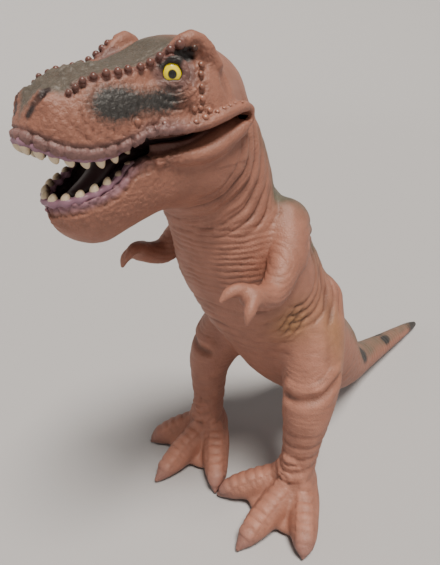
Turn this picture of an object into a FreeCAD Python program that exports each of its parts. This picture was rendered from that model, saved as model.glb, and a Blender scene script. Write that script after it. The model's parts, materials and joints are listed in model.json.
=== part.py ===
import FreeCAD, Part
import math
import os

# A stuffed toy tyrannosaur: thin moulded vinyl skin sections filled with soft stuffing.
# Units are millimetres. The animal faces -Y, +X is its left side and +Z is up.
# Points are written as (forward, side, up) and turned into the row frame by place().

WALL = 2.5               # thickness of the vinyl skin
FIT = 0.4                # air left between separate pieces
MID_LENGTH = -54.0       # forward coordinate that sits over the origin
FAR = 400.0              # reach of the cutting blocks, longer than any piece

NECK_HEIGHT = 302.0      # level face where the head turns on the neck
NECK_AXIS = 80.0         # forward place of the vertical line that the head turns about

JAW_HINGE = (86.0, 345.0)    # forward and up of the corner of the mouth
JAW_RADIUS = 50.0            # rounded root of the jaw, centred on its hinge
JAW_CUT_ANGLE = 48.0         # underside of the jaw's root, below level
JAW_OPEN_ROOM = 5.0          # degrees left free under the root, so that the jaw can drop
MOUTH_ROOF = 347.0           # underside of the upper head
SLIT_BACK = 92.0             # forward place where the slit of the mouth ends
SLIT_DEPTH = 5.0             # height of the slit at the mouth's corner
JAW_TOP = (90.0, 339.0)      # a point on the sloping top of the jaw, forward and up
JAW_SLOPE = 0.174            # drop of the jaw's top per millimetre forward

SHOULDER = (50.0, 265.0)     # forward and up of the line that both arms turn about
SHOULDER_SIDE = 50.0         # distance of the shoulder's flat from the middle
SHOULDER_POCKET = 36.0       # radius of the flat that the arm turns on
ARM_FLAT_REACH = 45.0        # how far ahead of that line the arm's inner side is flat

TAIL_AXIS = -140.0           # forward place of the vertical line that the tail swings about
TAIL_RADIUS = 33.0           # rounded end of the torso inside the root of the tail

EYE_PLACE = (138.0, 26.0, 379.0)
EYE_RADIUS = 9.0
HORN_PLACE = (121.0, 31.0, 389.0)    # centre of the knob over the left eye
HORN_RADIUS = 11.0

GUM_INSET = 3.0
GUM_WIDTH = 8.0
UPPER_GUM = 4.0
LOWER_GUM = 3.0
GUM_BACK = 142.0         # rear end of both gums, ahead of the jaw's rounded root
TOOTH_RADIUS = 2.2
TOOTH_TIP_RADIUS = 0.4
TOOTH_SHRINK = 0.35          # share of its length that a tooth loses towards the back of its row
UPPER_TOOTH = 8.0
LOWER_TOOTH = 7.0
TEETH_EACH_SIDE = 10
FRONT_TEETH = 5              # teeth of one side that stand on the rounded front
FRONT_BEND = 1.1             # length of the rounded front, per millimetre of the row's half width
UPPER_ARCH_ROW = 6           # row of SKULL that gives the width of the upper teeth
LOWER_ARCH_ROW = 3           # row of JAW that gives the width of the lower teeth

PLUG_FORWARD = -38.0         # closure of the filling hole, under the belly
PLUG_RADIUS = 12.0
PLUG_STEM = 8.0
PLUG_STEM_RADIUS = 8.0
BELLY_CLEAR = 100.0          # a height between the belly's skin and the back's, above the plug

# Each row is forward, up, half width, half depth, from the tip of the tail to the nape.
BODY = [
    (-322.0, 5.5, 3.5, 5.0),
    (-300.0, 9.5, 8.0, 9.0),
    (-262.0, 14.2, 13.0, 13.5),
    (-215.0, 19.7, 18.5, 19.2),
    (-165.0, 26.0, 25.0, 25.0),
    (-118.0, 43.0, 35.0, 34.0),
    (-68.0, 86.0, 48.0, 50.0),
    (-26.0, 134.0, 55.0, 55.0),
    (4.0, 177.0, 56.0, 56.0),
    (33.0, 215.0, 54.0, 55.0),
    (58.0, 249.0, 50.0, 53.0),
    (71.0, 280.0, 41.0, 44.0),
    (78.0, 312.0, 36.0, 43.0),
    (86.0, 338.0, 35.0, 40.0),
]

# Forward, up, half width, half depth of the upright sections of the skull, back to front.
SKULL = [
    (50.0, 345.0, 20.0, 18.0),
    (58.0, 346.0, 33.0, 28.0),
    (74.0, 348.0, 41.0, 36.0),
    (96.0, 350.0, 43.0, 41.0),
    (120.0, 350.0, 42.0, 47.0),
    (140.0, 350.0, 39.0, 42.0),
    (165.0, 350.0, 34.5, 35.5),
    (185.0, 350.0, 30.5, 33.0),
    (200.0, 350.0, 24.0, 28.0),
    (210.0, 350.0, 14.0, 19.0),
    (214.0, 350.0, 7.0, 11.0),
]

# The same for the lower jaw. Its upper half is cut away along the sloping top.
JAW = [
    (100.0, 332.0, 38.0, 38.0),
    (125.0, 329.0, 37.0, 34.0),
    (145.0, 326.0, 34.0, 31.0),
    (165.0, 322.0, 31.0, 30.0),
    (182.0, 320.0, 27.5, 29.0),
    (194.0, 319.0, 21.0, 23.0),
    (201.0, 318.0, 13.0, 14.0),
    (205.0, 317.0, 6.0, 7.0),
]

# Forward, side, up, half width, half depth down the left limbs.
LEG = [
    (-22.0, 18.0, 184.0, 20.0, 24.0),
    (-5.0, 43.0, 155.0, 32.0, 36.0),
    (18.0, 56.0, 126.0, 29.0, 29.0),
    (31.0, 60.0, 100.0, 25.5, 24.5),
    (31.0, 60.0, 76.0, 21.5, 21.0),
    (27.0, 58.0, 48.0, 18.5, 18.5),
    (26.0, 57.0, 20.0, 18.5, 20.0),
    (27.0, 57.0, -6.0, 19.0, 22.0),
]
TOES = [
    [(16.0, 57.0, 15.0, 20.0, 19.0), (44.0, 72.0, 12.0, 16.0, 14.0),
     (64.0, 86.0, 9.0, 12.5, 11.5), (80.0, 97.0, 5.0, 4.0, 5.0)],
    [(16.0, 57.0, 15.0, 20.0, 19.0), (52.0, 56.0, 12.0, 16.0, 15.0),
     (85.0, 55.0, 9.0, 13.0, 11.5), (115.0, 54.0, 5.0, 4.0, 5.0)],
    [(16.0, 57.0, 15.0, 20.0, 19.0), (44.0, 38.0, 12.0, 15.0, 14.0),
     (66.0, 20.0, 9.0, 12.0, 11.0), (84.0, 4.5, 5.0, 4.0, 5.0)],
]
ARM = [
    (42.0, 40.0, 270.0, 16.0, 18.0),
    (50.0, 51.0, 259.0, 15.0, 16.0),
    (60.0, 61.0, 245.0, 11.5, 12.5),
    (74.0, 64.5, 234.0, 9.5, 10.5),
    (93.0, 61.0, 238.0, 8.5, 9.0),
    (110.0, 57.5, 244.0, 8.2, 8.0),
    (116.0, 56.0, 246.0, 6.0, 6.0),
]
FINGERS = [
    [(108.0, 55.0, 246.0, 4.5, 5.0), (121.0, 51.0, 250.0, 4.0, 4.0), (129.0, 49.5, 246.0, 1.5, 2.0)],
    [(108.0, 59.0, 244.0, 4.5, 5.0), (119.0, 60.5, 244.0, 4.0, 4.0), (126.0, 60.5, 239.0, 1.5, 2.0)],
]
TONGUE = [
    (138.0, 330.0, 9.0, 5.0),
    (152.0, 328.0, 11.0, 6.0),
    (170.0, 325.0, 10.0, 5.5),
    (184.0, 322.5, 6.0, 4.0),
]
TONGUE_ROOM = 20.0           # height above the jaw's top that the tongue is cut to

OVAL_POINTS = 12
OVAL_LEAST = 0.8             # smallest half width or half depth of a section


def place(forward, side, up):
    """Point of the row frame."""
    return FreeCAD.Vector(side, MID_LENGTH - forward, up)


def oval(centre, along, half_width, half_depth):
    """Smooth closed curve around centre, square to the direction along."""
    across = FreeCAD.Vector(1, 0, 0)
    across = across - along * across.dot(along)
    across.normalize()
    rise = along.cross(across)
    points = []
    for step in range(OVAL_POINTS):
        angle = 2 * math.pi * step / OVAL_POINTS
        points.append(centre + across * (half_width * math.cos(angle))
                      + rise * (half_depth * math.sin(angle)))
    curve = Part.BSplineCurve()
    curve.interpolate(points, PeriodicFlag=True)
    return Part.Wire(curve.toShape())


def tube(stations, inset=0.0):
    """Solid through oval sections that stand square to the line of their centres."""
    centres = [place(*station[:3]) for station in stations]
    last = len(stations) - 1
    sections = []
    for index, station in enumerate(stations):
        along = centres[min(index + 1, last)] - centres[max(index - 1, 0)]
        along.normalize()
        centre = centres[index]
        if index == 0:
            centre = centre + along * inset
        if index == last:
            centre = centre - along * inset
        half_width = max(station[3] - inset, OVAL_LEAST)
        half_depth = max(station[4] - inset, OVAL_LEAST)
        sections.append(oval(centre, along, half_width, half_depth))
    return Part.makeLoft(sections, True, False)


def upright(stations, inset=0.0):
    """Solid through upright oval sections on the middle plane."""
    sections = []
    ends = {0: inset, len(stations) - 1: -inset}
    for index, (forward, up, half_width, half_depth) in enumerate(stations):
        centre = place(forward + ends.get(index, 0.0), 0, up)
        half_width = max(half_width - inset, OVAL_LEAST)
        half_depth = max(half_depth - inset, OVAL_LEAST)
        sections.append(oval(centre, FreeCAD.Vector(0, -1, 0), half_width, half_depth))
    return Part.makeLoft(sections, True, False)


def centred(stations):
    """Stations on the middle plane in the form that tube() takes."""
    return [(forward, 0.0, up, wide, deep) for forward, up, wide, deep in stations]


def block(forward, side, up):
    """Box between the two values given for each direction."""
    low = place(forward[1], side[0], up[0])
    return Part.makeBox(side[1] - side[0], forward[1] - forward[0], up[1] - up[0], low)


def profile(outline):
    """Prism right across the toy, from an outline of (forward, up) points."""
    points = [place(forward, -FAR / 2, up) for forward, up in outline]
    face = Part.Face(Part.makePolygon(points + points[:1]))
    return face.extrude(FreeCAD.Vector(FAR, 0, 0))


def crosswise(centre, radius, low=-FAR / 2, high=FAR / 2):
    """Cylinder along X about a (forward, up) point, from side low to side high."""
    end = place(centre[0], low, centre[1])
    return Part.makeCylinder(radius, high - low, end, FreeCAD.Vector(1, 0, 0))


def mirrored(shape):
    """The right side's copy of a left piece."""
    return shape.mirror(FreeCAD.Vector(0, 0, 0), FreeCAD.Vector(1, 0, 0))


def save(name, shape):
    """Write one node, as its solid or as a group of separate solids."""
    solids = shape.Solids
    kept = solids[0] if len(solids) == 1 else Part.makeCompound(solids)
    kept.exportStep("parts/" + name + ".step")
    print(name, len(solids), kept.isValid(), round(kept.Volume / 1000, 2))


# --- zones that the moving sections are cut by ---------------------------------------------

def tail_zone(gap):
    """Everything behind the tail's axis and outside the rounded end of the torso."""
    behind = block((-FAR, TAIL_AXIS), (-FAR, FAR), (-FAR, FAR))
    axis = place(TAIL_AXIS, 0, -FAR)
    return behind.cut(Part.makeCylinder(TAIL_RADIUS + gap, 2 * FAR, axis))


def shoulder_pocket(grow):
    """Space outside the flat that an arm turns on, on the left side."""
    return crosswise(SHOULDER, SHOULDER_POCKET + grow, SHOULDER_SIDE - grow, FAR)


def jaw_ray(angle, length=FAR):
    """Point at a distance from the jaw's hinge, that many degrees below level."""
    turn = math.radians(angle)
    return (JAW_HINGE[0] + length * math.cos(turn), JAW_HINGE[1] - length * math.sin(turn))


def mouth_zone(grow):
    """Space of the mouth and the jaw, taken out of the head."""
    roof = MOUTH_ROOF + grow
    angle = JAW_CUT_ANGLE + JAW_OPEN_ROOM + grow
    low_front = (FAR, jaw_ray(angle)[1])
    wedge = profile([(JAW_HINGE[0], roof), JAW_HINGE, jaw_ray(angle), low_front, (FAR, roof)])
    root = crosswise(JAW_HINGE, JAW_RADIUS - grow)
    slit_reach = JAW_HINGE[0] + JAW_RADIUS
    slit = block((SLIT_BACK - grow, slit_reach), (-FAR, FAR), (MOUTH_ROOF - SLIT_DEPTH - grow, roof))
    return wedge.cut(root).fuse(slit)


def jaw_top(forward, lift=0.0):
    """Height of the jaw's sloping top."""
    return JAW_TOP[1] - JAW_SLOPE * (forward - JAW_TOP[0]) + lift


def jaw_slab(low, high):
    """Sloping layer above the jaw's top, between two lifts."""
    return profile([(0, jaw_top(0, low)), (FAR, jaw_top(FAR, low)),
                    (FAR, jaw_top(FAR, high)), (0, jaw_top(0, high))])


# --- whole shapes, as a function of how far they lie inside the outer surface ---------------

def body(inset):
    """Whole trunk, from the tip of the tail to the nape."""
    return tube(centred(BODY), inset)


def torso(inset):
    """Middle of the body, between the tail and the neck, with its shoulder flats."""
    pocket = shoulder_pocket(inset)
    shape = body(inset).cut(tail_zone(-inset)).cut(pocket).cut(mirrored(pocket))
    above = block((-FAR, FAR), (-FAR, FAR), (NECK_HEIGHT - FIT / 2, FAR + NECK_HEIGHT))
    return shape.cut(above)


def head(inset):
    """Skull and neck above the turning face, without the mouth."""
    below = block((-FAR, FAR), (-FAR, FAR), (-FAR, NECK_HEIGHT + FIT / 2))
    shape = body(inset).fuse(upright(SKULL, inset))
    for side in (-1, 1):
        knob = place(HORN_PLACE[0], side * HORN_PLACE[1], HORN_PLACE[2])
        shape = shape.fuse(Part.makeSphere(HORN_RADIUS - inset, knob))
    shape = shape.cut(below).cut(mouth_zone(inset))
    for side in (-1, 1):
        centre = place(EYE_PLACE[0], side * EYE_PLACE[1], EYE_PLACE[2])
        shape = shape.cut(Part.makeSphere(EYE_RADIUS + FIT / 2 + inset, centre))
    return shape


def jaw(inset):
    """Lower jaw outside its rounded root and under its sloping top."""
    angle = JAW_CUT_ANGLE - inset
    low_front = (FAR, jaw_ray(angle)[1])
    wedge = profile([JAW_HINGE, jaw_ray(angle), low_front,
                     (FAR, jaw_top(FAR, -inset)), (JAW_HINGE[0], jaw_top(JAW_HINGE[0], -inset))])
    return upright(JAW, inset).common(wedge).cut(crosswise(JAW_HINGE, JAW_RADIUS + FIT + inset))


def leg(inset):
    """Left leg with its three toes, flat under the sole."""
    shape = tube(LEG, inset)
    for toe in TOES:
        shape = shape.fuse(tube(toe, inset))
    return shape.cut(block((-FAR, FAR), (-FAR, FAR), (-FAR, inset)))


def arm(inset):
    """Left arm with its two fingers, flat against the shoulder."""
    shape = tube(ARM, inset)
    for finger in FINGERS:
        shape = shape.fuse(tube(finger, inset))
    flat_end = SHOULDER[0] + ARM_FLAT_REACH
    inboard = block((-FAR, flat_end), (-FAR, SHOULDER_SIDE + FIT), (-FAR, FAR))
    return shape.cut(inboard)


def tail(inset):
    """Tail behind the rounded end of the torso."""
    return body(inset).common(tail_zone(FIT + inset))


def gum(shape, inner, layer):
    """Horseshoe ridge inside the lip."""
    front = block((GUM_BACK, FAR), (-FAR, FAR), (-FAR, 2 * FAR))
    return shape.cut(inner).common(layer).common(front)


def teeth(tip, half_width, length, base, slope, sense):
    """Row of cones round a mouth, on a layer of height base(forward) that drops by slope."""
    direction = FreeCAD.Vector(0, -slope, 1) * sense
    bend = tip - half_width * FRONT_BEND
    side_step = (bend - GUM_BACK - 2 * TOOTH_RADIUS) / (TEETH_EACH_SIDE - FRONT_TEETH)
    cones = []
    for index in range(TEETH_EACH_SIDE):
        if index < FRONT_TEETH:
            turn = math.radians(90.0 * (index + 0.5) / FRONT_TEETH)
            forward = bend + (tip - bend) * math.cos(turn)
            side = half_width * math.sin(turn)
        else:
            forward = bend - side_step * (index - FRONT_TEETH + 0.5)
            side = half_width
        size = length * (1.0 - TOOTH_SHRINK * index / TEETH_EACH_SIDE)
        root = place(forward, side, base(forward))
        cone = Part.makeCone(TOOTH_RADIUS, TOOTH_TIP_RADIUS, size, root, direction)
        cones += [cone, mirrored(cone)]
    return Part.makeCompound(cones)


def plug_cut(radius, reach):
    """Upright cylinder through the filling hole under the belly."""
    return Part.makeCylinder(radius, reach, place(PLUG_FORWARD, 0, 0))


# --- pieces ---------------------------------------------------------------------------------

def shell_and_filling(whole, remove=None):
    """A skin section and the stuffing that fills it."""
    skin = whole(0.0).cut(whole(WALL))
    filling = whole(WALL + FIT)
    if remove is not None:
        skin = skin.cut(remove)
        filling = filling.cut(remove)
    return skin, filling


def build_torso():
    """Trunk with its stuffing, and the plug that closes the filling hole."""
    outer = torso(0.0)
    skin = outer.cut(torso(WALL))
    filling = torso(WALL + FIT)
    coupon = skin.common(plug_cut(PLUG_RADIUS - FIT / 2, BELLY_CLEAR))
    stem_top = coupon.optimalBoundingBox().ZMax + PLUG_STEM
    stem = outer.common(plug_cut(PLUG_STEM_RADIUS, stem_top))
    skin = skin.cut(plug_cut(PLUG_RADIUS, BELLY_CLEAR))
    room = plug_cut(PLUG_STEM_RADIUS + FIT, stem_top + FIT)
    save("filling_plug", coupon.fuse(stem))
    save("torso_skin", skin)
    save("torso_stuffing", filling.cut(room))


def save_limbs(name, skin, filling):
    """Write a left limb's skin and stuffing, and their mirror images on the right."""
    for part, shape in (("_skin", skin), ("_stuffing", filling)):
        save("left_" + name + part, shape)
        save("right_" + name + part, mirrored(shape))


def build_legs():
    """Legs, cut to meet the outside of the trunk."""
    skin, filling = shell_and_filling(leg, body(-FIT))
    save_limbs("leg", skin, filling)


def build_arms():
    """Arms, outside the shoulder flats."""
    skin, filling = shell_and_filling(arm)
    save_limbs("arm", skin, filling)


def build_tail():
    """Tail with its stuffing."""
    skin, filling = shell_and_filling(tail)
    save("tail_skin", skin)
    save("tail_stuffing", filling)


def build_head():
    """Upper head with its stuffing, gum, teeth and eyes."""
    skin, filling = shell_and_filling(head)
    save("head_skin", skin)
    save("head_stuffing", filling)
    gum_low = MOUTH_ROOF - UPPER_GUM
    layer = profile([(0, gum_low), (FAR, gum_low), (FAR, MOUTH_ROOF), (0, MOUTH_ROOF)])
    save("upper_gum", gum(upright(SKULL, GUM_INSET), upright(SKULL, GUM_INSET + GUM_WIDTH), layer))
    arch = SKULL[UPPER_ARCH_ROW][2] - GUM_INSET - GUM_WIDTH / 2
    tip = SKULL[-1][0] - GUM_INSET - GUM_WIDTH / 2
    save("upper_teeth", teeth(tip, arch, UPPER_TOOTH, lambda forward: gum_low, 0.0, -1))
    for side, sign in (("left", 1), ("right", -1)):
        centre = place(EYE_PLACE[0], sign * EYE_PLACE[1], EYE_PLACE[2])
        save(side + "_eye", Part.makeSphere(EYE_RADIUS, centre))


def build_jaw():
    """Lower jaw with its stuffing, gum, teeth and tongue."""
    skin, filling = shell_and_filling(jaw)
    save("jaw_skin", skin)
    save("jaw_stuffing", filling)
    root = crosswise(JAW_HINGE, JAW_RADIUS + FIT)
    layer = jaw_slab(0.0, LOWER_GUM)
    ridge = gum(upright(JAW, GUM_INSET), upright(JAW, GUM_INSET + GUM_WIDTH), layer)
    save("lower_gum", ridge.cut(root))
    arch = JAW[LOWER_ARCH_ROW][2] - GUM_INSET - GUM_WIDTH / 2
    tip = JAW[-1][0] - GUM_INSET - GUM_WIDTH / 2
    top = lambda forward: jaw_top(forward, LOWER_GUM)
    save("lower_teeth", teeth(tip, arch, LOWER_TOOTH, top, JAW_SLOPE, 1))
    save("tongue", tube(centred(TONGUE)).common(jaw_slab(0.0, TONGUE_ROOM)).cut(root))


os.makedirs("parts", exist_ok=True)
build_torso()
build_legs()
build_arms()
build_tail()
build_head()
build_jaw()
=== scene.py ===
import json
import math
from itertools import product

import bmesh
import bpy
import numpy as np
from mathutils import Matrix, Vector


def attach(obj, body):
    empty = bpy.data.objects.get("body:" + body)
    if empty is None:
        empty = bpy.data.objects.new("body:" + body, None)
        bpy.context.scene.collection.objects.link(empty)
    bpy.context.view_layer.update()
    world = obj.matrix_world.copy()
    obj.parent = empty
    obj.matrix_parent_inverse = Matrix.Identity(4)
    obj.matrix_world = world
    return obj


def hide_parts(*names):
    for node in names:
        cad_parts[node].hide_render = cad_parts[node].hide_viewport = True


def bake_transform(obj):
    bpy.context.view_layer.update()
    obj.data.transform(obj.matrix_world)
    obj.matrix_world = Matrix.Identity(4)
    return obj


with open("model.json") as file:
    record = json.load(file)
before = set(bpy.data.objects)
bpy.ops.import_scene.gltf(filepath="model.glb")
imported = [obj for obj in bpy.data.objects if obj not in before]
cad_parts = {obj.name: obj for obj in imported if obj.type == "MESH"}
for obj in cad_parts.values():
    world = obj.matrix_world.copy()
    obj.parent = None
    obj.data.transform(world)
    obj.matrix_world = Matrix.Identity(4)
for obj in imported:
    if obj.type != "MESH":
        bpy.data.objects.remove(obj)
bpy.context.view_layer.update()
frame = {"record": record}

# The toy is sculpted in millimetres as (side, forward, up): side is the animal's left, forward is the way
# that it faces, and up is from the floor. to_row() turns that into the frame's own metres.

JOINTS = {joint["name"]: joint for joint in frame["record"]["behaviour"]["joints"]}
HINGE_FORWARD = 86.0          # the corner of the mouth, where the jaw's hinge line lies
MIDDLE = 1000.0 * JOINTS["jaw_flex"]["pos_m"][1] + HINGE_FORWARD
TAIL_BEND_START = MIDDLE - 1000.0 * JOINTS["tail_flex"]["pos_m"][1]


def to_row(points):
    """Sculpting millimetres to the frame's metres."""
    points = np.asarray(points, float)
    return np.stack([points[..., 0], MIDDLE - points[..., 1], points[..., 2]], -1) / 1000.0


# --- curves and noise ---------------------------------------------------------------------

def smooth_rows(rows, count):
    """Catmull-Rom curve through rows of numbers, resampled evenly along its first three columns."""
    rows = np.array(rows, float)
    padded = np.vstack([2 * rows[0] - rows[1], rows, 2 * rows[-1] - rows[-2]])
    pieces = []
    for index in range(1, len(padded) - 2):
        a, b, c, d = padded[index - 1:index + 3]
        t = np.linspace(0, 1, 16, endpoint=False)[:, None]
        pieces.append(0.5 * (2 * b + (c - a) * t + (2 * a - 5 * b + 4 * c - d) * t ** 2
                             + (3 * b - a - 3 * c + d) * t ** 3))
    pieces.append(padded[-2][None])
    dense = np.vstack(pieces)
    length = np.r_[0, np.cumsum(np.linalg.norm(np.diff(dense[:, :3], axis=0), axis=1))]
    even = np.linspace(0, length[-1], count)
    return np.stack([np.interp(even, length, dense[:, k]) for k in range(dense.shape[1])], 1)


def curve(points, x):
    """Smooth curve y(x) through a few (x, y) points, with x rising."""
    rows = smooth_rows([(a, b, 0.0) for a, b in points], 120)
    return np.interp(x, rows[:, 0], rows[:, 1])


def ramp(x, low, high):
    """Smooth step from 0 at low to 1 at high."""
    t = np.clip((x - low) / (high - low), 0, 1)
    return t * t * (3 - 2 * t)


def fade(x, low, high):
    """Smooth step from 1 at low to 0 at high."""
    return 1 - ramp(x, low, high)


def band(x, low, full, fading, gone):
    """1 from full to fading, falling smoothly to 0 at low and at gone."""
    return ramp(x, low, full) * fade(x, fading, gone)


def lattice(cells, seed):
    """Fixed pseudo-random value from 0 to 1 for each whole-number cell."""
    n = cells.astype(np.int64)
    h = n[..., 0] * 73856093 ^ n[..., 1] * 19349663 ^ n[..., 2] * 83492791 ^ seed * 2654435761
    h = (h ^ (h >> 13)) * 1274126177 & 0x7FFFFFFF
    h = (h ^ (h >> 16)) * 668265263 & 0x7FFFFFFF
    return h / float(0x7FFFFFFF)


def noise(points, size, seed=1):
    """Smooth value noise from -1 to 1 with features of about size millimetres."""
    q = points / size
    base = np.floor(q)
    f = q - base
    f = f * f * (3 - 2 * f)
    total = np.zeros(len(points))
    for corner in product((0, 1), repeat=3):
        weight = 1.0
        for n in range(3):
            weight = weight * (f[:, n] if corner[n] else 1 - f[:, n])
        total += weight * lattice(base + corner, seed)
    return 2 * total - 1


def rough(points, size, seed=1):
    """Noise of three octaves."""
    return (noise(points, size, seed) + 0.5 * noise(points, size / 2, seed + 7)
            + 0.25 * noise(points, size / 4, seed + 13)) / 1.75


def pebbles(points, size, seed=1):
    """Rounded scales: 1 at the middle of each scale and 0 in the groove between two."""
    q = points / size
    base = np.floor(q)
    first = np.full(len(points), 9.0)
    second = np.full(len(points), 9.0)
    for step in product((-1, 0, 1), repeat=3):
        cell = base + step
        spot = np.stack([lattice(cell, seed + n) for n in (0, 101, 211)], -1)
        d = np.linalg.norm(cell + 0.15 + 0.7 * spot - q, axis=1)
        second = np.minimum(second, np.maximum(first, d))
        first = np.minimum(first, d)
    return np.clip((second - first) * 2.2, 0, 1)


# --- solid shapes as distance fields ------------------------------------------------------

REACH = 26.0      # how far from a shape its field is worked out, in millimetres
AWAY = 60.0       # value of a field further off than that


def tube(points, rows, count=28):
    """Distance to a smooth tube. Rows are side, forward, up, half width across, half depth."""
    rows = smooth_rows(rows, count).astype(np.float32)
    best = np.full(len(points), AWAY, np.float32)
    for a, b in zip(rows[:-1], rows[1:]):
        middle = (a[:3] + b[:3]) / 2
        span = b[:3] - a[:3]
        length = float(np.linalg.norm(span))
        if length < 1e-4:
            continue
        reach = length / 2 + max(a[3:5].max(), b[3:5].max()) + REACH
        near = np.nonzero((np.abs(points - middle) < reach).all(1))[0]
        if not len(near):
            continue
        axis = span / length
        across = np.array([1, 0, 0], np.float32) - axis * axis[0]
        across /= np.linalg.norm(across)
        deep = np.cross(axis, across)
        q = points[near] - a[:3]
        t = np.clip(q @ axis / length, 0, 1)
        d = q - t[:, None] * span
        wide = a[3] + (b[3] - a[3]) * t
        thick = a[4] + (b[4] - a[4]) * t
        u, v, w = (d @ across) / wide, (d @ deep) / thick, (d @ axis) / np.minimum(wide, thick)
        size = np.sqrt(u * u + v * v + w * w) + 1e-6
        slope = np.sqrt((u / wide) ** 2 + (v / thick) ** 2) + 1e-6
        slope = np.maximum(slope, size / np.maximum(wide, thick))
        best[near] = np.minimum(best[near], size * (size - 1) / slope)
    return best


def turned(pitch, roll, heading):
    """Rotation matrix from three angles in degrees about side, forward and up."""
    a, b, c = np.radians([pitch, roll, heading])
    rx = np.array([[1, 0, 0], [0, np.cos(a), -np.sin(a)], [0, np.sin(a), np.cos(a)]])
    ry = np.array([[np.cos(b), 0, np.sin(b)], [0, 1, 0], [-np.sin(b), 0, np.cos(b)]])
    rz = np.array([[np.cos(c), -np.sin(c), 0], [np.sin(c), np.cos(c), 0], [0, 0, 1]])
    return (rz @ ry @ rx).astype(np.float32)


def ball(points, centre, radii, turn=(0, 0, 0)):
    """Distance to an ellipsoid."""
    best = np.full(len(points), AWAY, np.float32)
    centre = np.array(centre, np.float32)
    radii = np.array(radii, np.float32)
    near = np.nonzero((np.abs(points - centre) < radii.max() + REACH).all(1))[0]
    q = (points[near] - centre) @ turned(*turn)
    a = q / radii
    size = np.sqrt((a * a).sum(1)) + 1e-6
    slope = np.sqrt(((a / radii) ** 2).sum(1)) + 1e-9
    best[near] = size * (size - 1) / slope
    return best


def join(a, b, soft):
    """Union with a fillet of about that size."""
    h = np.maximum(soft - np.abs(a - b), 0) / soft
    return np.minimum(a, b) - h * h * h * soft / 6


def carve(a, b, soft):
    """a with b taken away."""
    return -join(-a, b, soft)


# --- the animal's proportions -------------------------------------------------------------

# side, forward, up, half width, half depth from the tip of the tail to the nape
BODY = [
    (0, -322, 6.5, 3.5, 4.2), (0, -300, 11, 6.5, 6.8), (0, -262, 15.8, 9.8, 10), (0, -215, 22, 13.5, 14),
    (0, -165, 30, 18.5, 19), (0, -118, 47, 28, 28), (0, -68, 88, 43, 46), (0, -20, 133, 49.5, 49.5),
    (0, 7, 175.5, 51.5, 52), (0, 30, 212.5, 50, 55), (0, 53, 248, 46, 50.5), (0, 69, 278, 39.5, 42),
    (0, 78, 306, 37, 43), (0, 87, 332, 36, 39.5), (0, 97, 350, 33.5, 35),
]
LEG = [
    (32, -12, 186, 22, 25), (42.5, 4, 158, 26, 29), (54, 21, 126, 24.5, 24.5), (59, 32, 100, 20.5, 19.5),
    (58.5, 36, 78, 18, 17), (58, 37, 52, 15, 14.5), (56.5, 38, 30, 14, 14.5),
]
TOES = [
    [(57, 36, 26, 15, 16), (70, 46, 19, 14.5, 15.5), (84.5, 64, 13.5, 12.5, 13), (92.5, 75, 9.5, 10, 9.5),
     (96.5, 80.5, 6, 5.5, 6), (99, 85, 3.5, 2, 2.5)],
    [(57, 36, 26, 15, 16), (56, 54, 20, 14.5, 16), (55, 82, 13.5, 13, 13), (54.5, 99, 9.5, 10, 9.5),
     (54, 109, 6, 5.5, 6), (54, 116, 3.5, 2, 2.5)],
    [(57, 36, 26, 15, 16), (41, 46, 20, 14, 16), (23, 64, 14, 12.5, 13.5), (12, 75, 10, 10, 10),
     (6.5, 81.5, 6.5, 6, 6.5), (2.5, 86, 4, 2.5, 3)],
]
INSTEP = (57, 37, 66)         # front of the ankle, where a ridge to each toe begins
SHOULDER = [(36, 42, 272, 17, 19), (45, 50, 262, 15.5, 17), (52, 56, 253, 12.5, 14), (56, 60, 247, 8, 9)]
ARM = [
    (43, 49, 264, 14, 15), (48, 56, 257, 14, 15), (54, 67, 247, 11.5, 12.5), (57, 80, 237, 10, 11),
    (58, 93, 238, 8.8, 9), (58.5, 105, 243, 8.2, 8),
]
FINGERS = [
    [(57, 103, 244, 6, 6.5), (54, 111, 249, 4.6, 5), (51.5, 118, 249, 4, 4), (50, 124.5, 245, 1.5, 1.8)],
    [(60, 103, 243, 6, 6), (63.5, 110, 242, 4.4, 4.6), (65.5, 115, 238, 3.7, 3.8), (66, 118, 232, 1.5, 1.8)],
]

# forward against half width and height of the upper head
HEAD_WIDTH = [(50, 1), (57, 10), (66, 17.5), (78, 25), (91, 32), (105, 38), (118, 40.5), (132, 39),
              (148, 36.5), (162, 34.5), (176, 31.5), (189, 27.5), (199, 22), (206, 16), (211, 9), (214, 1)]
HEAD_TOP = [(46, 352), (54, 367), (62, 376), (74, 384), (90, 391.5), (106, 396.5), (120, 396.5), (134, 391.5),
            (150, 387), (165, 385.2), (180, 383.8), (192, 379.5), (202, 373), (209, 365.5), (214, 356)]
HEAD_MIDDLE = 354.0
SKULL_BACK = 46.0
SNOUT_END = 214.0
JAW_MIDDLE = 326.0
JAW_BACK = 86.0
CHIN_END = 207.0

JAW_WIDTH = [(86, 36), (105, 37.5), (125, 36.5), (145, 34), (162, 30), (176, 26.5), (188, 23), (196, 17.5),
             (201, 10), (204, 1)]
JAW_BOTTOM = [(86, 288), (105, 288), (121, 295), (133, 299), (144, 299.5), (154, 297), (166, 293),
              (177, 289.5), (188, 292), (197, 298.5), (203, 307), (207, 317)]
LOWER_LIP = [(86, 351), (93, 351.2), (106, 348.6), (118, 345), (128, 342.3), (140, 341.2), (150, 340.5),
             (158, 339.5), (166, 336.5), (173, 330), (182, 325.5), (194, 322), (207, 318.5)]
UPPER_LIP = [(86, 353.5), (93, 354), (106, 352), (118, 349), (128, 347.5), (145, 349), (158, 349),
             (167, 344.5), (177, 341.5), (188, 341), (198, 343), (207, 347.5), (216, 354)]
LIP_JOIN = 152.0          # behind here skin is stretched between the lips
LIP_DEPTH = 5.5
SLIT_HALF = 0.7
MOUTH_CORNER = 88.0
CHAMBER_BACK = 104.0
EYE = (28.0, 135.3, 378.5)
EYE_RADIUS = 8.6
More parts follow.
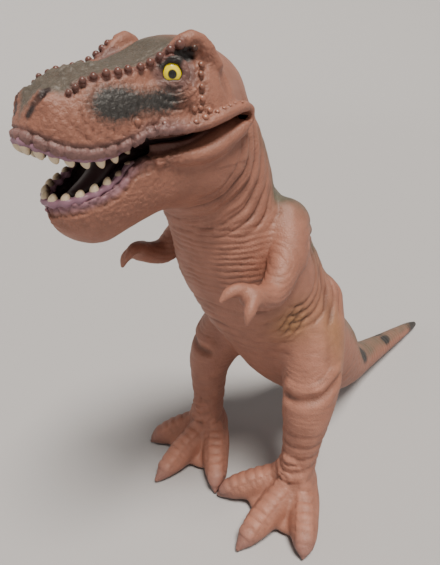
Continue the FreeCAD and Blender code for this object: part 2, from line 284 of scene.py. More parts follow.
NOSTRIL = [(11.8, 199.5, 376), (12, 203.3, 373.9), (10.6, 206.2, 371.4), (8.6, 208.2, 368.4),
           (7.3, 209.3, 365.5)]
GAZE = np.array([0.797, 0.601, 0.06])
GAZE_SIDE = np.array([-0.602, 0.798, 0.0])
GAZE_UP = np.array([-0.048, -0.036, 0.998])
LIDS = [
    # first and last angle round the gaze, angle from the gaze at the middle and at the corners, all in
    # degrees; then the distance from the centre of the eye, and the thickness
    (-8, 188, 52, 49, 9.2, 2.8),          # high upper lid
    (172, 368, 32, 49, 9.2, 2.4),         # flat lower lid
    (212, 328, 49, 54, 12.9, 1.9),        # two bags below it
    (216, 324, 58, 62, 16.0, 1.7),
]


def boxy(across, up, wide, high, power=2.5):
    """Distance to an upright section with flatter sides than an ellipse."""
    wide = np.maximum(wide, 0.5)
    high = np.maximum(high, 0.5)
    size = (np.abs(across / wide) ** power + np.abs(up / high) ** power) ** (1 / power)
    return (size - 1) * np.minimum(wide, high)


def upper_head(p):
    side, forward, up = p[:, 0], p[:, 1], p[:, 2]
    wide = curve(HEAD_WIDTH, forward)
    top = curve(HEAD_TOP, forward)
    inside = boxy(side, up - HEAD_MIDDLE, wide, top - HEAD_MIDDLE)
    below = boxy(side, up - HEAD_MIDDLE, wide, np.full_like(wide, 26.0), 2.2)
    field = np.where(up > HEAD_MIDDLE, inside, below)
    ends = np.maximum(SKULL_BACK - forward, forward - SNOUT_END)
    return np.maximum(field, ends)


def lower_jaw(p):
    side, forward, up = p[:, 0], p[:, 1], p[:, 2]
    wide = curve(JAW_WIDTH, forward)
    bottom = curve(JAW_BOTTOM, forward)
    inside = boxy(side, up - JAW_MIDDLE, wide, JAW_MIDDLE - bottom, 2.3)
    above = boxy(side, up - JAW_MIDDLE, wide, np.full_like(wide, 24.0), 2.4)
    field = np.where(up < JAW_MIDDLE, inside, above)
    ends = np.maximum(JAW_BACK - forward, forward - CHIN_END)
    return np.maximum(field, ends)


def mouth(p):
    """The open space between the lips, with a deeper chamber behind them."""
    side, forward, up = p[:, 0], p[:, 1], p[:, 2]
    high = curve(UPPER_LIP, forward)
    low = curve(LOWER_LIP, forward)
    middle = (high + low) / 2
    edge = np.minimum(curve(HEAD_WIDTH, forward), curve(JAW_WIDTH, forward))
    back = MOUTH_CORNER - forward
    between = np.maximum(np.maximum(up - high, low - up), back)
    depth = LIP_DEPTH + 2.5 * ramp(forward, 140, LIP_JOIN)
    groove = np.maximum(between, edge - depth - np.abs(side) + 0.35 * np.abs(up - middle))
    gap = np.maximum(between, LIP_JOIN - forward)
    slit = np.maximum(np.abs(up - middle) - SLIT_HALF, 96.0 - forward)
    room = edge - 8.0 - 5.0 * fade(forward, LIP_JOIN - 10, LIP_JOIN + 6)
    chamber = np.maximum(np.maximum(up - high - 7.0, low - 6.0 - up), np.abs(side) - room)
    chamber = np.maximum(chamber, np.maximum(CHAMBER_BACK - forward, forward - 199.0))
    return np.minimum(join(join(gap, groove, 4.0), chamber, 2.0), slit)


def head_field(p):
    skull = upper_head(p)
    jaw = lower_jaw(p)
    # jowls, cheeks and the muscle behind the corner of the mouth
    skull = join(skull, ball(p, (30, 110, 359), (10, 18, 14)), 12)
    jaw = join(jaw, ball(p, (29, 106, 326), (10, 22, 18)), 14)
    # brow ridge from the snout up to the knob over the eye, and down behind it
    brow = [(18, 187, 376, 2.2, 3), (21.5, 172, 379, 3, 3.2), (25, 156, 380.7, 2.8, 2.8),
            (26.8, 144, 383.8, 3.2, 3.2), (28, 131, 390.8, 4.4, 4.4), (29, 121.5, 394.6, 5, 5),
            (31.5, 113, 390.5, 4.6, 4.6), (34, 106, 381, 3, 3)]
    skull = join(skull, tube(p, brow, 18), 7)
    # rim of the nostril and the swelling of the nose
    skull = join(skull, ball(p, (9, 199, 369), (7.5, 7, 6.5)), 7)
    # hollow between the two brow ridges
    skull = carve(skull, ball(p, (0, 148, 399), (15, 18, 10)), 8)
    # sunken cheek in front of the eye, and the socket
    skull = carve(skull, ball(p, (44, 166, 367), (8, 22, 10), (0, 0, 4)), 8)
    skull = carve(skull, ball(p, (42, 137, 379), (10, 12, 8.5)), 4)
    skull = carve(skull, ball(p, (41, 132, 387.2), (12, 12, 4.6), (0, 0, -8)), 2)
    # lids round the eye, and the bags of loose skin below it
    for first, last, tilt, corner, far, thick in LIDS:
        angle = np.radians(np.linspace(first, last, 13))
        away = np.radians(tilt + (corner - tilt) * np.abs(np.cos(angle)) ** 2.5)
        lid = np.outer(np.cos(away), GAZE) + np.outer(np.sin(away) * np.cos(angle), GAZE_SIDE)
        lid = np.array(EYE) + far * (lid + np.outer(np.sin(away) * np.sin(angle), GAZE_UP))
        skull = join(skull, tube(p, np.c_[lid, np.full((13, 2), thick)], 18), 1.0)
    skull = carve(skull, ball(p, EYE, (EYE_RADIUS - 0.5,) * 3), 0.6)
    # nostril: a long slit that opens forward
    slit = [(*spot, thick, thick) for spot, thick in zip(NOSTRIL, (1.0, 1.8, 2.1, 1.7, 1.0))]
    skull = carve(skull, tube(p, slit, 10), 1.2)
    field = join(skull, jaw, 6)
    # heavy fold of the lip that wraps the corner of the mouth
    fold = [(33, 163, 352, 2, 2), (37, 148, 353.5, 3, 2.5), (41, 128, 353, 4, 3), (43, 110, 356.5, 4, 3.5),
            (41.5, 94, 358.5, 3.5, 3.5), (39, 86, 354.5, 4, 4), (41, 92, 348, 4.2, 4.2),
            (41, 106, 341.5, 4.5, 4.5), (39.5, 122, 336.5, 4.5, 4.5), (36, 138, 336, 3.5, 3.5),
            (32, 152, 336, 2.5, 2.5)]
    field = join(field, tube(p, fold, 30), 6)
    return carve(field, mouth(p), 3.5)


def skin_field(p):
    """The whole animal. p is on the left half, so side is never negative by more than a cell."""
    p = p.astype(np.float32)
    field = tube(p, BODY, 64)
    # chest, shoulder blade, hump, haunch and the swelling under the tail
    field = join(field, ball(p, (19, 70, 240), (17, 18, 24), (-25, 0, 0)), 18)
    field = join(field, ball(p, (34, 38, 260), (16, 24, 26), (-30, 0, 0)), 14)
    field = join(field, ball(p, (34, 7, 150), (25, 25, 40), (-18, 0, 0)), 18)
    leg = tube(p, LEG, 36)
    leg = join(leg, ball(p, (58.5, 37, 104), (17, 14, 19)), 10)
    foot = np.full(len(p), AWAY, np.float32)
    for toe in TOES:
        foot = join(foot, tube(p, toe, 20), 7)
        near, far = toe[1], toe[2]
        halfway = ((INSTEP[0] + near[0]) / 2, (INSTEP[1] + near[1]) / 2 + 2, 42, 9.5, 10)
        ridge = [(*INSTEP, 10, 9), halfway, (near[0], near[1] + 2, 24, 9, 10), (far[0], far[1], 17, 6, 8)]
        foot = join(foot, tube(p, ridge, 16), 6)
    # skin stretched between the toes, and the heel
    foot = join(foot, ball(p, (68, 60, 6), (16, 19, 8), (0, 0, -24)), 10)
    foot = join(foot, ball(p, (43, 60, 6), (16, 19, 8), (0, 0, 24)), 10)
    foot = join(foot, ball(p, (57, 31, 13), (14.5, 13, 14.5)), 8)
    leg = join(leg, foot, 10)
    leg = np.maximum(leg, -p[:, 2])
    field = join(field, leg, 12)
    field = join(field, tube(p, SHOULDER, 12), 9)
    near_head = np.nonzero((p[:, 1] > 20) & (p[:, 2] > 262))[0]
    if len(near_head):
        blended = join(field[near_head], head_field(p[near_head]), 12)
        field[near_head] = carve(blended, mouth(p[near_head]), 3.5)
    return np.maximum(field, -p[:, 2])


def arm_field(p):
    """The left arm, whose root lies inside the shoulder."""
    p = p.astype(np.float32)
    field = tube(p, ARM, 24)
    for finger in FINGERS:
        field = join(field, tube(p, finger, 10), 3)
    return field


# --- meshes from the shapes ---------------------------------------------------------------

FINE = 0.95       # grid spacing at the head, in millimetres
COARSE = 1.62     # grid spacing elsewhere
BLOCK = 5         # the field is first tried at the middle of blocks of this many cells
SOLID = 9.0       # value far from the surface


def lines(first, last, fine_from, fine_to):
    """Grid lines from first to last, closer together from fine_from to fine_to."""
    stretches = [np.arange(first, fine_from, COARSE), np.arange(fine_from, fine_to, FINE),
                 np.arange(fine_to, last + COARSE, COARSE)]
    return np.concatenate([stretch for stretch in stretches if len(stretch)])


def sample(field, axes):
    """Values of a field on a grid, worked out only near its surface."""
    shape = tuple(len(axis) for axis in axes)
    grid = np.full(shape, SOLID, np.float32)
    starts = [np.arange(0, n, BLOCK) for n in shape]
    ends = [np.minimum(start + BLOCK, n - 1) for start, n in zip(starts, shape)]
    middles = np.stack(np.meshgrid(*[(axis[a] + axis[b]) / 2 for axis, a, b in zip(axes, starts, ends)],
                                   indexing="ij"), -1)
    spans = np.stack(np.meshgrid(*[axis[b] - axis[a] for axis, a, b in zip(axes, starts, ends)],
                                 indexing="ij"), -1)
    rough_values = field(middles.reshape(-1, 3)).reshape(middles.shape[:3])
    reach = 0.7 * np.linalg.norm(spans, axis=-1) + 2.0
    for i, j, k in np.argwhere(rough_values < -reach) * BLOCK:
        grid[i:i + BLOCK + 1, j:j + BLOCK + 1, k:k + BLOCK + 1] = -SOLID
    near = np.argwhere(np.abs(rough_values) <= reach) * BLOCK
    steps = np.stack(np.meshgrid(*[np.arange(BLOCK)] * 3, indexing="ij"), -1).reshape(-1, 3)
    cells = (near[:, None] + steps).reshape(-1, 3)
    cells = cells[(cells < shape).all(1)]
    points = np.stack([axis[cells[:, n]] for n, axis in enumerate(axes)], 1)
    grid[tuple(cells.T)] = field(points)
    return grid


def surface(grid, axes):
    """Corner points and four-sided faces of the surface where the grid's value is 0 (surface nets)."""
    negative = grid < 0
    corners = [(i, j, k) for i in (0, 1) for j in (0, 1) for k in (0, 1)]
    shape = np.array(grid.shape)
    views = [negative[tuple(slice(c, c + n - 1) for c, n in zip(corner, shape))] for corner in corners]
    crossed = np.logical_or.reduce(views) & ~np.logical_and.reduce(views)
    cell = np.stack(np.nonzero(crossed), 1)
    number = np.full(crossed.shape, -1, np.int32)
    number[tuple(cell.T)] = np.arange(len(cell))
    total = np.zeros((len(cell), 3))
    count = np.zeros(len(cell))
    for start in corners:
        for along in range(3):
            if start[along]:
                continue
            stop = np.array(start)
            stop[along] = 1
            a = grid[tuple((cell + start).T)]
            b = grid[tuple((cell + stop).T)]
            hit = (a < 0) != (b < 0)
            t = np.where(hit, a / np.where(hit, a - b, 1), 0)
            spot = np.array(start, float) + t[:, None] * (stop - np.array(start))
            total += np.where(hit[:, None], spot, 0)
            count += hit
    total /= count[:, None]
    points = np.stack([axis[cell[:, n]] + total[:, n] * (axis[cell[:, n] + 1] - axis[cell[:, n]])
                       for n, axis in enumerate(axes)], 1)
    faces = []
    for along in range(3):
        first, second = (along + 1) % 3, (along + 2) % 3
        low = [slice(None)] * 3
        high = [slice(None)] * 3
        low[along], high[along] = slice(0, -1), slice(1, None)
        edge = np.stack(np.nonzero(negative[tuple(low)] != negative[tuple(high)]), 1)
        edge = edge[(edge[:, first] > 0) & (edge[:, second] > 0)
                    & (edge[:, first] < shape[first] - 1) & (edge[:, second] < shape[second] - 1)]
        around = []
        for back_first, back_second in ((1, 1), (0, 1), (0, 0), (1, 0)):
            c = edge.copy()
            c[:, first] -= back_first
            c[:, second] -= back_second
            around.append(number[tuple(c.T)])
        around = np.stack(around, 1)
        outward = ~negative[tuple(edge.T)]
        around[outward] = around[outward][:, ::-1]
        faces.append(around)
    return points, np.concatenate(faces)


def normals_of(points, faces):
    """Unit normal at each point, pointing out of the solid."""
    across = np.cross(points[faces[:, 2]] - points[faces[:, 0]], points[faces[:, 3]] - points[faces[:, 1]])
    total = np.zeros_like(points)
    for corner in range(4):
        for n in range(3):
            total[:, n] += np.bincount(faces[:, corner], across[:, n], len(points))
    return total / (np.linalg.norm(total, axis=1)[:, None] + 1e-12)


def relax(points, faces, rounds=2):
    """Evens out the points without moving the shape much."""
    ring = np.concatenate([faces[:, [0, 1]], faces[:, [1, 2]], faces[:, [2, 3]], faces[:, [3, 0]]])
    count = np.bincount(ring.ravel(), minlength=len(points))
    for weight in (0.5, -0.52) * rounds:
        middle = np.zeros_like(points)
        for n in range(3):
            middle[:, n] = (np.bincount(ring[:, 0], points[ring[:, 1], n], len(points))
                            + np.bincount(ring[:, 1], points[ring[:, 0], n], len(points))) / count
        points = points + weight * (middle - points)
    return points


# --- folds, scales and bumps --------------------------------------------------------------

def crests(phase):
    """Rounded folds with narrow creases between them, from -1 in a crease to 0. Phase counts folds."""
    return np.abs(np.sin(np.pi * phase)) ** 0.5 - 1.0


def blob(points, centre, radii):
    """1 at the middle of an ellipsoid and 0 outside it."""
    d = np.linalg.norm((points - np.array(centre)) / np.array(radii), axis=1)
    return fade(d, 0.35, 1.0)


def near_line(points, line, width):
    """1 on a line of points and 0 further from it than width, with the place along it in millimetres."""
    line = smooth_rows(line, 60)[:, :3]
    along = np.r_[0, np.cumsum(np.linalg.norm(np.diff(line, axis=0), axis=1))]
    best = np.full(len(points), 1e9)
    place = np.zeros(len(points))
    low, high = line.min(0) - width, line.max(0) + width
    rows = np.nonzero(((points > low) & (points < high)).all(1))[0]
    for spot, distance in zip(line, along):
        d = np.linalg.norm(points[rows] - spot, axis=1)
        closer = d < best[rows]
        best[rows[closer]] = d[closer]
        place[rows[closer]] = distance
    return fade(best, 0.3 * width, width), place


BROW_BUMPS = [
    # side, forward, up, radius, height
    (19, 192, 374, 1.7, 1.3), (20, 189, 376.5, 1.8, 1.4), (21, 185, 379, 2.1, 1.7),
    (22, 179.5, 380.5, 2.3, 1.9), (24, 173.5, 381.5, 2.5, 2.1), (25.5, 167.5, 382, 2.4, 2.0),
    (26.5, 161.5, 383, 2.3, 2.0), (28, 155.5, 384, 2.4, 2.1), (29, 149.5, 386, 2.5, 2.2),
    (29.5, 143.5, 388.5, 2.7, 2.3), (31.5, 138, 391, 2.8, 2.4), (33, 132, 393.5, 3.0, 2.4),
]
SINGLE_BUMPS = [
    (33, 122, 389, 2.4, 1.8), (37, 119, 384, 2.4, 1.7), (38, 122, 378.5, 2.2, 1.6),
    (38.5, 123, 372, 2.1, 1.5), (39, 124, 366, 2.0, 1.4), (38.5, 130, 361, 1.9, 1.3),
    (42, 125.5, 356.5, 2.3, 1.8), (42, 132, 355.5, 1.9, 1.4), (42, 121, 359.5, 1.8, 1.2),
    (41, 127, 361, 1.5, 1.0), (37.5, 149, 356.5, 2.4, 1.8), (36, 155, 353.5, 1.8, 1.2),
    (34, 164.5, 358, 2.0, 1.4), (43, 117, 357.5, 1.6, 1.1), (43, 112, 358.5, 1.5, 1.0),
    (43, 107, 359.5, 1.4, 0.9), (43, 102, 360.5, 1.3, 0.8), (43, 97, 361, 1.2, 0.7),
]
TAIL_BLOTCHES = [((16, -143, 52), (13, 14, 13)), ((6, -221, 33), (9, 13, 11)), ((0, -315, 12), (12, 36, 14))]
CHEEK_PATCH = ((31, 174, 368), (18, 19, 12.5))
EYE_SHADE = ((36, 146, 367), (13, 16, 11))
HOLLOW = [(33, 144, 384.4, 0), (35, 138, 386, 0), (31.5, 130, 387.2, 0), (31, 124, 388, 0)]
# forward against height of a fold over the knee, which dips at the front
BOWL = [(10, 24), (24, 12), (38, 2.5), (48, 0), (60, -2)]
KNEE_CREASE = [(40, 50, 121, 0), (47, 48, 123, 0), (57, 50, 124, 0), (66, 47, 126, 0), (76, 37, 129.5, 0),
               (80, 26, 135, 0), (80, 12, 139, 0)]
THIGH_GROOVE = [(47, 2, 222, 0), (54, 1, 198, 0), (67, 14, 176, 0), (74, 24, 154, 0)]
HIP_KNOT = (47, 42, 190)
BELLY_CREASES = [[(0, 90, 209, 0), (14, 88, 206, 0), (28, 80, 205, 0), (40, 68, 208, 0)],
                 [(0, 81, 192, 0), (12, 80, 189, 0), (26, 73, 188, 0), (37, 62, 192, 0)]]


def fine(p, size, seed):
    """Noise from 0 to 1 that lets folds fade in and out."""
    return np.clip(0.5 + 0.8 * noise(p, size, seed), 0, 1)


def body_relief(p, side, forward, up, facing):
    """Height of the folds of the neck, trunk, legs and tail."""
    place = np.stack([side, forward, up], 1)
    sway = 5.0 * rough(p, 34, 3) + 1.8 * rough(p, 11, 5)
    height = np.zeros(len(p))
    # rings about the jaw's corner: level under the throat, upright at the side of the neck
    ring = np.hypot(forward - 136, up - 352) + 0.8 * sway
    neck = band(forward, 36, 56, 118, 130) * ramp(up, 270, 286)
    neck *= fade(up, 344, 376) * ramp(ring, 42, 54)
    height += neck * (3.2 * crests(ring / 9.5) * (0.4 + 0.6 * fine(p, 26, 7))
                      + 0.9 * crests(ring / 4.3) * fine(p, 14, 9))
    # fine level wrinkles over the chest, wider creases over the belly
    level = up + 0.10 * side + 0.9 * sway
    front = ramp(facing[:, 1], 0.0, 0.45)
    chest = front * band(up, 222, 234, 280, 290) * fade(side, 38, 50)
    height += chest * 1.35 * crests(level / 4.8) * (0.35 + 0.65 * fine(p, 15, 21))
    belly = front * band(up, 140, 158, 212, 222) * fade(side, 38, 50)
    height += belly * (2.2 * crests(level / 12.5) * (0.3 + 0.7 * fine(p, 26, 23))
                       + 0.5 * crests(level / 4.4) * fine(p, 13, 25))
    for line in BELLY_CREASES:
        height -= 1.1 * near_line(place, line, 4.5)[0] * (0.4 + 0.6 * fine(p, 18, 27))
    # deep folds that sweep down the flank from the shoulder to the hip
    arc = np.hypot(forward - 38, up - 230) + 0.35 * sway
    flank = ramp(side, 22, 34) * band(arc, 18, 28, 64, 84) * fade(forward, 40, 54)
    flank *= band(up, 176, 190, 262, 276)
    height += flank * 3.6 * crests(arc / 8.2) * (0.6 + 0.4 * fine(p, 20, 29))
    # crumpled skin where the leg meets the belly
    knot = blob(place, HIP_KNOT, (17, 20, 22))
    height += knot * 2.6 * crests((forward * 0.75 + up * 0.55) / 6.8 + 0.95 * rough(p, 14, 31))
    # back of the trunk
    back = ramp(-facing[:, 1], 0.1, 0.6) * band(up, 60, 90, 285, 300) * fade(side, 40, 50)
    height += back * 1.1 * crests((forward * 0.5 + up * 0.86 + sway) / 9.5) * fine(p, 22, 33)
    # groove down the thigh
    groove, _ = near_line(place, THIGH_GROOVE, 8)
    height -= 1.5 * groove
    height += 0.5 * blob(place, (66, 20, 165), (24, 34, 44)) * crests((up + sway) / 6.5) * fine(p, 16, 37)
    # knee: one deep crease, a roll above and below it, and fine wrinkles in the roll above
    leg = ramp(side, 22, 32) * fade(up, 148, 158)
    crease, _ = near_line(place, KNEE_CREASE, 7)
    roll_above, _ = near_line(place + (0, 0, -8.0), KNEE_CREASE, 10)
    roll_below, _ = near_line(place + (0, 0, 7.5), KNEE_CREASE, 8)
    height += 2.2 * roll_above + 1.0 * roll_below - 2.1 * crease
    bowl = up - curve(BOWL, forward) + 0.25 * sway
    fold_up = leg * band(up, 126, 132, 146, 154) * ramp(forward, 4, 16)
    height += fold_up * 0.9 * crests(bowl / 3.9)
    below_knee = leg * band(up, 84, 92, 116, 124)
    height += below_knee * (0.9 * crests((up + 0.5 * sway) / 4.2) * (0.3 + 0.7 * fine(p, 12, 39)))
    # ankle
    ankle_level = up + 0.2 * forward + 0.5 * sway
    ankle = leg * band(up, 26, 34, 84, 98)
    height += ankle * (1.8 * crests(ankle_level / 12.5) * (0.4 + 0.6 * fine(p, 20, 43))
                       + 0.6 * crests(ankle_level / 4.3))
    # square scales along the tops of the toes
    for toe in TOES:
        ridge = [(57, 47, 64, 0), ((57 + toe[1][0]) / 2, (47 + toe[1][1]) / 2 + 5, 46, 0)]
        ridge += [(a, b, c + 0.95 * e, 0) for a, b, c, _, e in toe[1:5]]
        on_ridge, at = near_line(place, ridge, 10)
        strip = ramp(on_ridge, 0.2, 0.5)
        height += strip * (1.2 + 1.7 * crests(at / 8.4 + 0.05 * noise(p, 10, 45)))
        wide, at = near_line(place, ridge, 16)
        between = (1 - strip) * ramp(wide, 0.0, 0.4)
        height += between * 0.8 * crests(at / 6.0 + 0.3 * noise(p, 9, 47)) * (up < 45)
    # rings round the tail
    tail = fade(forward, -100, -60)
    height += tail * 0.8 * crests((forward + 0.6 * sway) / 6.5) * fine(p, 12, 41)
    return height


def head_relief(p, side, forward, up):
    """Height of the scales, lip plates and bumps of the head."""
    place = np.stack([side, forward, up], 1)
    height = np.zeros(len(p))
    upper_line = curve(UPPER_LIP, forward)
    lower_line = curve(LOWER_LIP, forward)
    edge = np.where(up > 347, curve(HEAD_WIDTH, forward), curve(JAW_WIDTH, forward))
    skin_side = ramp(side - edge, -7.0, -4.0) * (forward > 100) + (up > 368) + (forward > 199)
    # pebbled skin of the snout, cheeks and chin
    snout = ramp(forward + 0.5 * (up - 345), 118, 138) * fade(up, 392, 397)
    height += snout * (0.5 * (pebbles(p, 3.3, 5) - 1) + 0.12 * (pebbles(p, 7.5, 6) - 1))
    # upright wrinkles under the cheek patch
    combed = band(forward, 146, 154, 188, 196) * band(up, 350, 354, 364, 371)
    height += combed * 1.1 * crests((forward + 1.2 * rough(p, 8, 51)) / 3.6)
    # folds round the front of the cheek patch
    hoop = np.hypot((forward - 160) * 0.8, (up - 366) * 1.3)
    height += 0.8 * crests(hoop / 5.0) * band(hoop, 16, 20, 28, 34) * ramp(forward, 168, 178)
    # plates along the upper lip
    outline = [(max(w, 0.0), f, 0, 0) for f, w in HEAD_WIDTH if f > 116]
    rows = np.nonzero((up > upper_line - 1) & (up < upper_line + 10) & (forward > 118))[0]
    _, along = near_line(place[rows] * (1, 1, 0), outline, 30)
    rise = (up[rows] - upper_line[rows] - 0.2) / 6.6
    across = 2 * np.abs(along / 7.2 % 1 - 0.5)
    plate = np.clip(1.2 - (across ** 2.6 + np.abs(2 * rise - 1) ** 2.6), 0, 1) ** 0.5
    height[rows] += (2.3 * plate - 0.9) * ramp(forward[rows], 126, 140) * fade(rise, 1.05, 1.3)
    # smaller plates along the lower lip and the chin
    rows = np.nonzero((up < lower_line + 0.5) & (up > lower_line - 9) & (forward > 130))[0]
    height[rows] += 1.2 * (pebbles(p[rows], 6.0, 61) - 1) * ramp(forward[rows], 136, 150)
    # rough ridge along the middle of the nose
    nose = ramp(forward, 160, 170) * fade(side, 8, 15) * ramp(up, 372, 377)
    height += nose * (1.7 * pebbles(p, 7.5, 71) - 0.2)
    # wrinkles along the top of the snout, from the nostril back to the brow
    streaks = ramp(forward, 120, 135) * ramp(up, 376, 381) * fade(side, 20, 26)
    height += streaks * 0.7 * crests((side + 2.4 * rough(p, 18, 75)) / 4.0)
    height *= np.clip(skin_side, 0, 1)
    # rows of bumps
    skull = np.nonzero((forward > 90) & (up > 350) & (side > 12))[0]
    for side_at, forward_at, up_at, radius, tall in BROW_BUMPS + SINGLE_BUMPS:
        nearest = np.argmin(np.linalg.norm(place[skull] - (side_at, forward_at, up_at), axis=1))
        d = np.linalg.norm(place[skull] - place[skull[nearest]], axis=1) / radius
        dome = np.sqrt(np.clip(1 - d * d, 0, 1))
        height[skull] += 0.3 * tall * dome - 0.7 * np.exp(-((d - 1.35) / 0.35) ** 2)
    # rings of loose skin under the eye, and a dent behind the brow
    loose = blob(place, (35, 141, 367), (14, 15, 12))
    eye_ring = np.hypot(forward - EYE[1] - 5, (up - EYE[2]))
    height += loose * 1.7 * crests(eye_ring / 4.1)
    dent = blob(place, (39, 104, 373), (12, 6, 11))
    height -= 1.2 * dent
    return height


def relief(p, facing):
    """Height of everything that is moulded into the skin."""
    side, forward, up = np.abs(p[:, 0]), p[:, 1], p[:, 2]
    height = body_relief(p, side, forward, up, facing)
    on_head = np.nonzero((forward > 88) & (up > 284))[0]
    height[on_head] += head_relief(p[on_head], side[on_head], forward[on_head], up[on_head])
    height += 0.3 * rough(p, 9, 81)
    return height * ramp(up, 0.2, 3.0)


def arm_relief(p, facing):
    """Height of the folds in the crook of the arm. facing is only there because relief() has it."""
    forward, up = p[:, 1], p[:, 2]
    crook = np.hypot(forward - 80, up - 262) + rough(p, 12, 91) * 2
    height = 0.55 * crests(crook / 4.2) * fade(forward, 96, 108)
    return height + 0.2 * rough(p, 8, 93)


# --- colours ------------------------------------------------------------------------------

BROWN = (0.235, 0.098, 0.066)
PINK_BROWN = (0.312, 0.140, 0.098)
LILAC = (0.27, 0.145, 0.19)
PURPLE_GREY = (0.13, 0.075, 0.078)
OCHRE = (0.27, 0.145, 0.045)
OLIVE_GREY = (0.075, 0.068, 0.055)
GREEN_GREY = (0.085, 0.075, 0.052)
CREASE_WASH_AND_SHADE = (0.085, 0.034, 0.024)
RECESS_SHADE = (0.020, 0.010, 0.010)
UNDER_BROW_SHADE = (0.008, 0.005, 0.005)
PUPIL = (0.004, 0.004, 0.004)
AIRBRUSH = (0.022, 0.020, 0.019)
LID_BROWN = (0.115, 0.060, 0.056)
BUMP_BROWN = (0.13, 0.052, 0.045)
MOUTH_FOLD_SHADE = (0.10, 0.040, 0.032)
IRIS = (0.90, 0.74, 0.008)
IRIS_SPOKE = (0.60, 0.42, 0.01)
IRIS_RIM = (0.10, 0.07, 0.02)
GUM = (0.25, 0.13, 0.18)
GUM_SHADED = (0.070, 0.034, 0.036)
TOOTH = (0.62, 0.50, 0.34)
TOOTH_SHADED = (0.085, 0.045, 0.035)
TONGUE_AND_MOUTH_SHADE = (0.045, 0.022, 0.024)
PLUG = (0.30, 0.15, 0.11)
BACKDROP = (0.40, 0.40, 0.414)


def paint(tint, colour, amount):
    """Lays a colour over the tint."""
    tint += (np.array(colour) - tint) * np.clip(amount, 0, 1)[:, None]


def cloud(points, centre, radii):
    """Soft round patch: 1 at its middle, fading out past its radii."""
    d = (points - np.array(centre)) / np.array(radii)
    return np.exp(-1.3 * (d * d).sum(1))


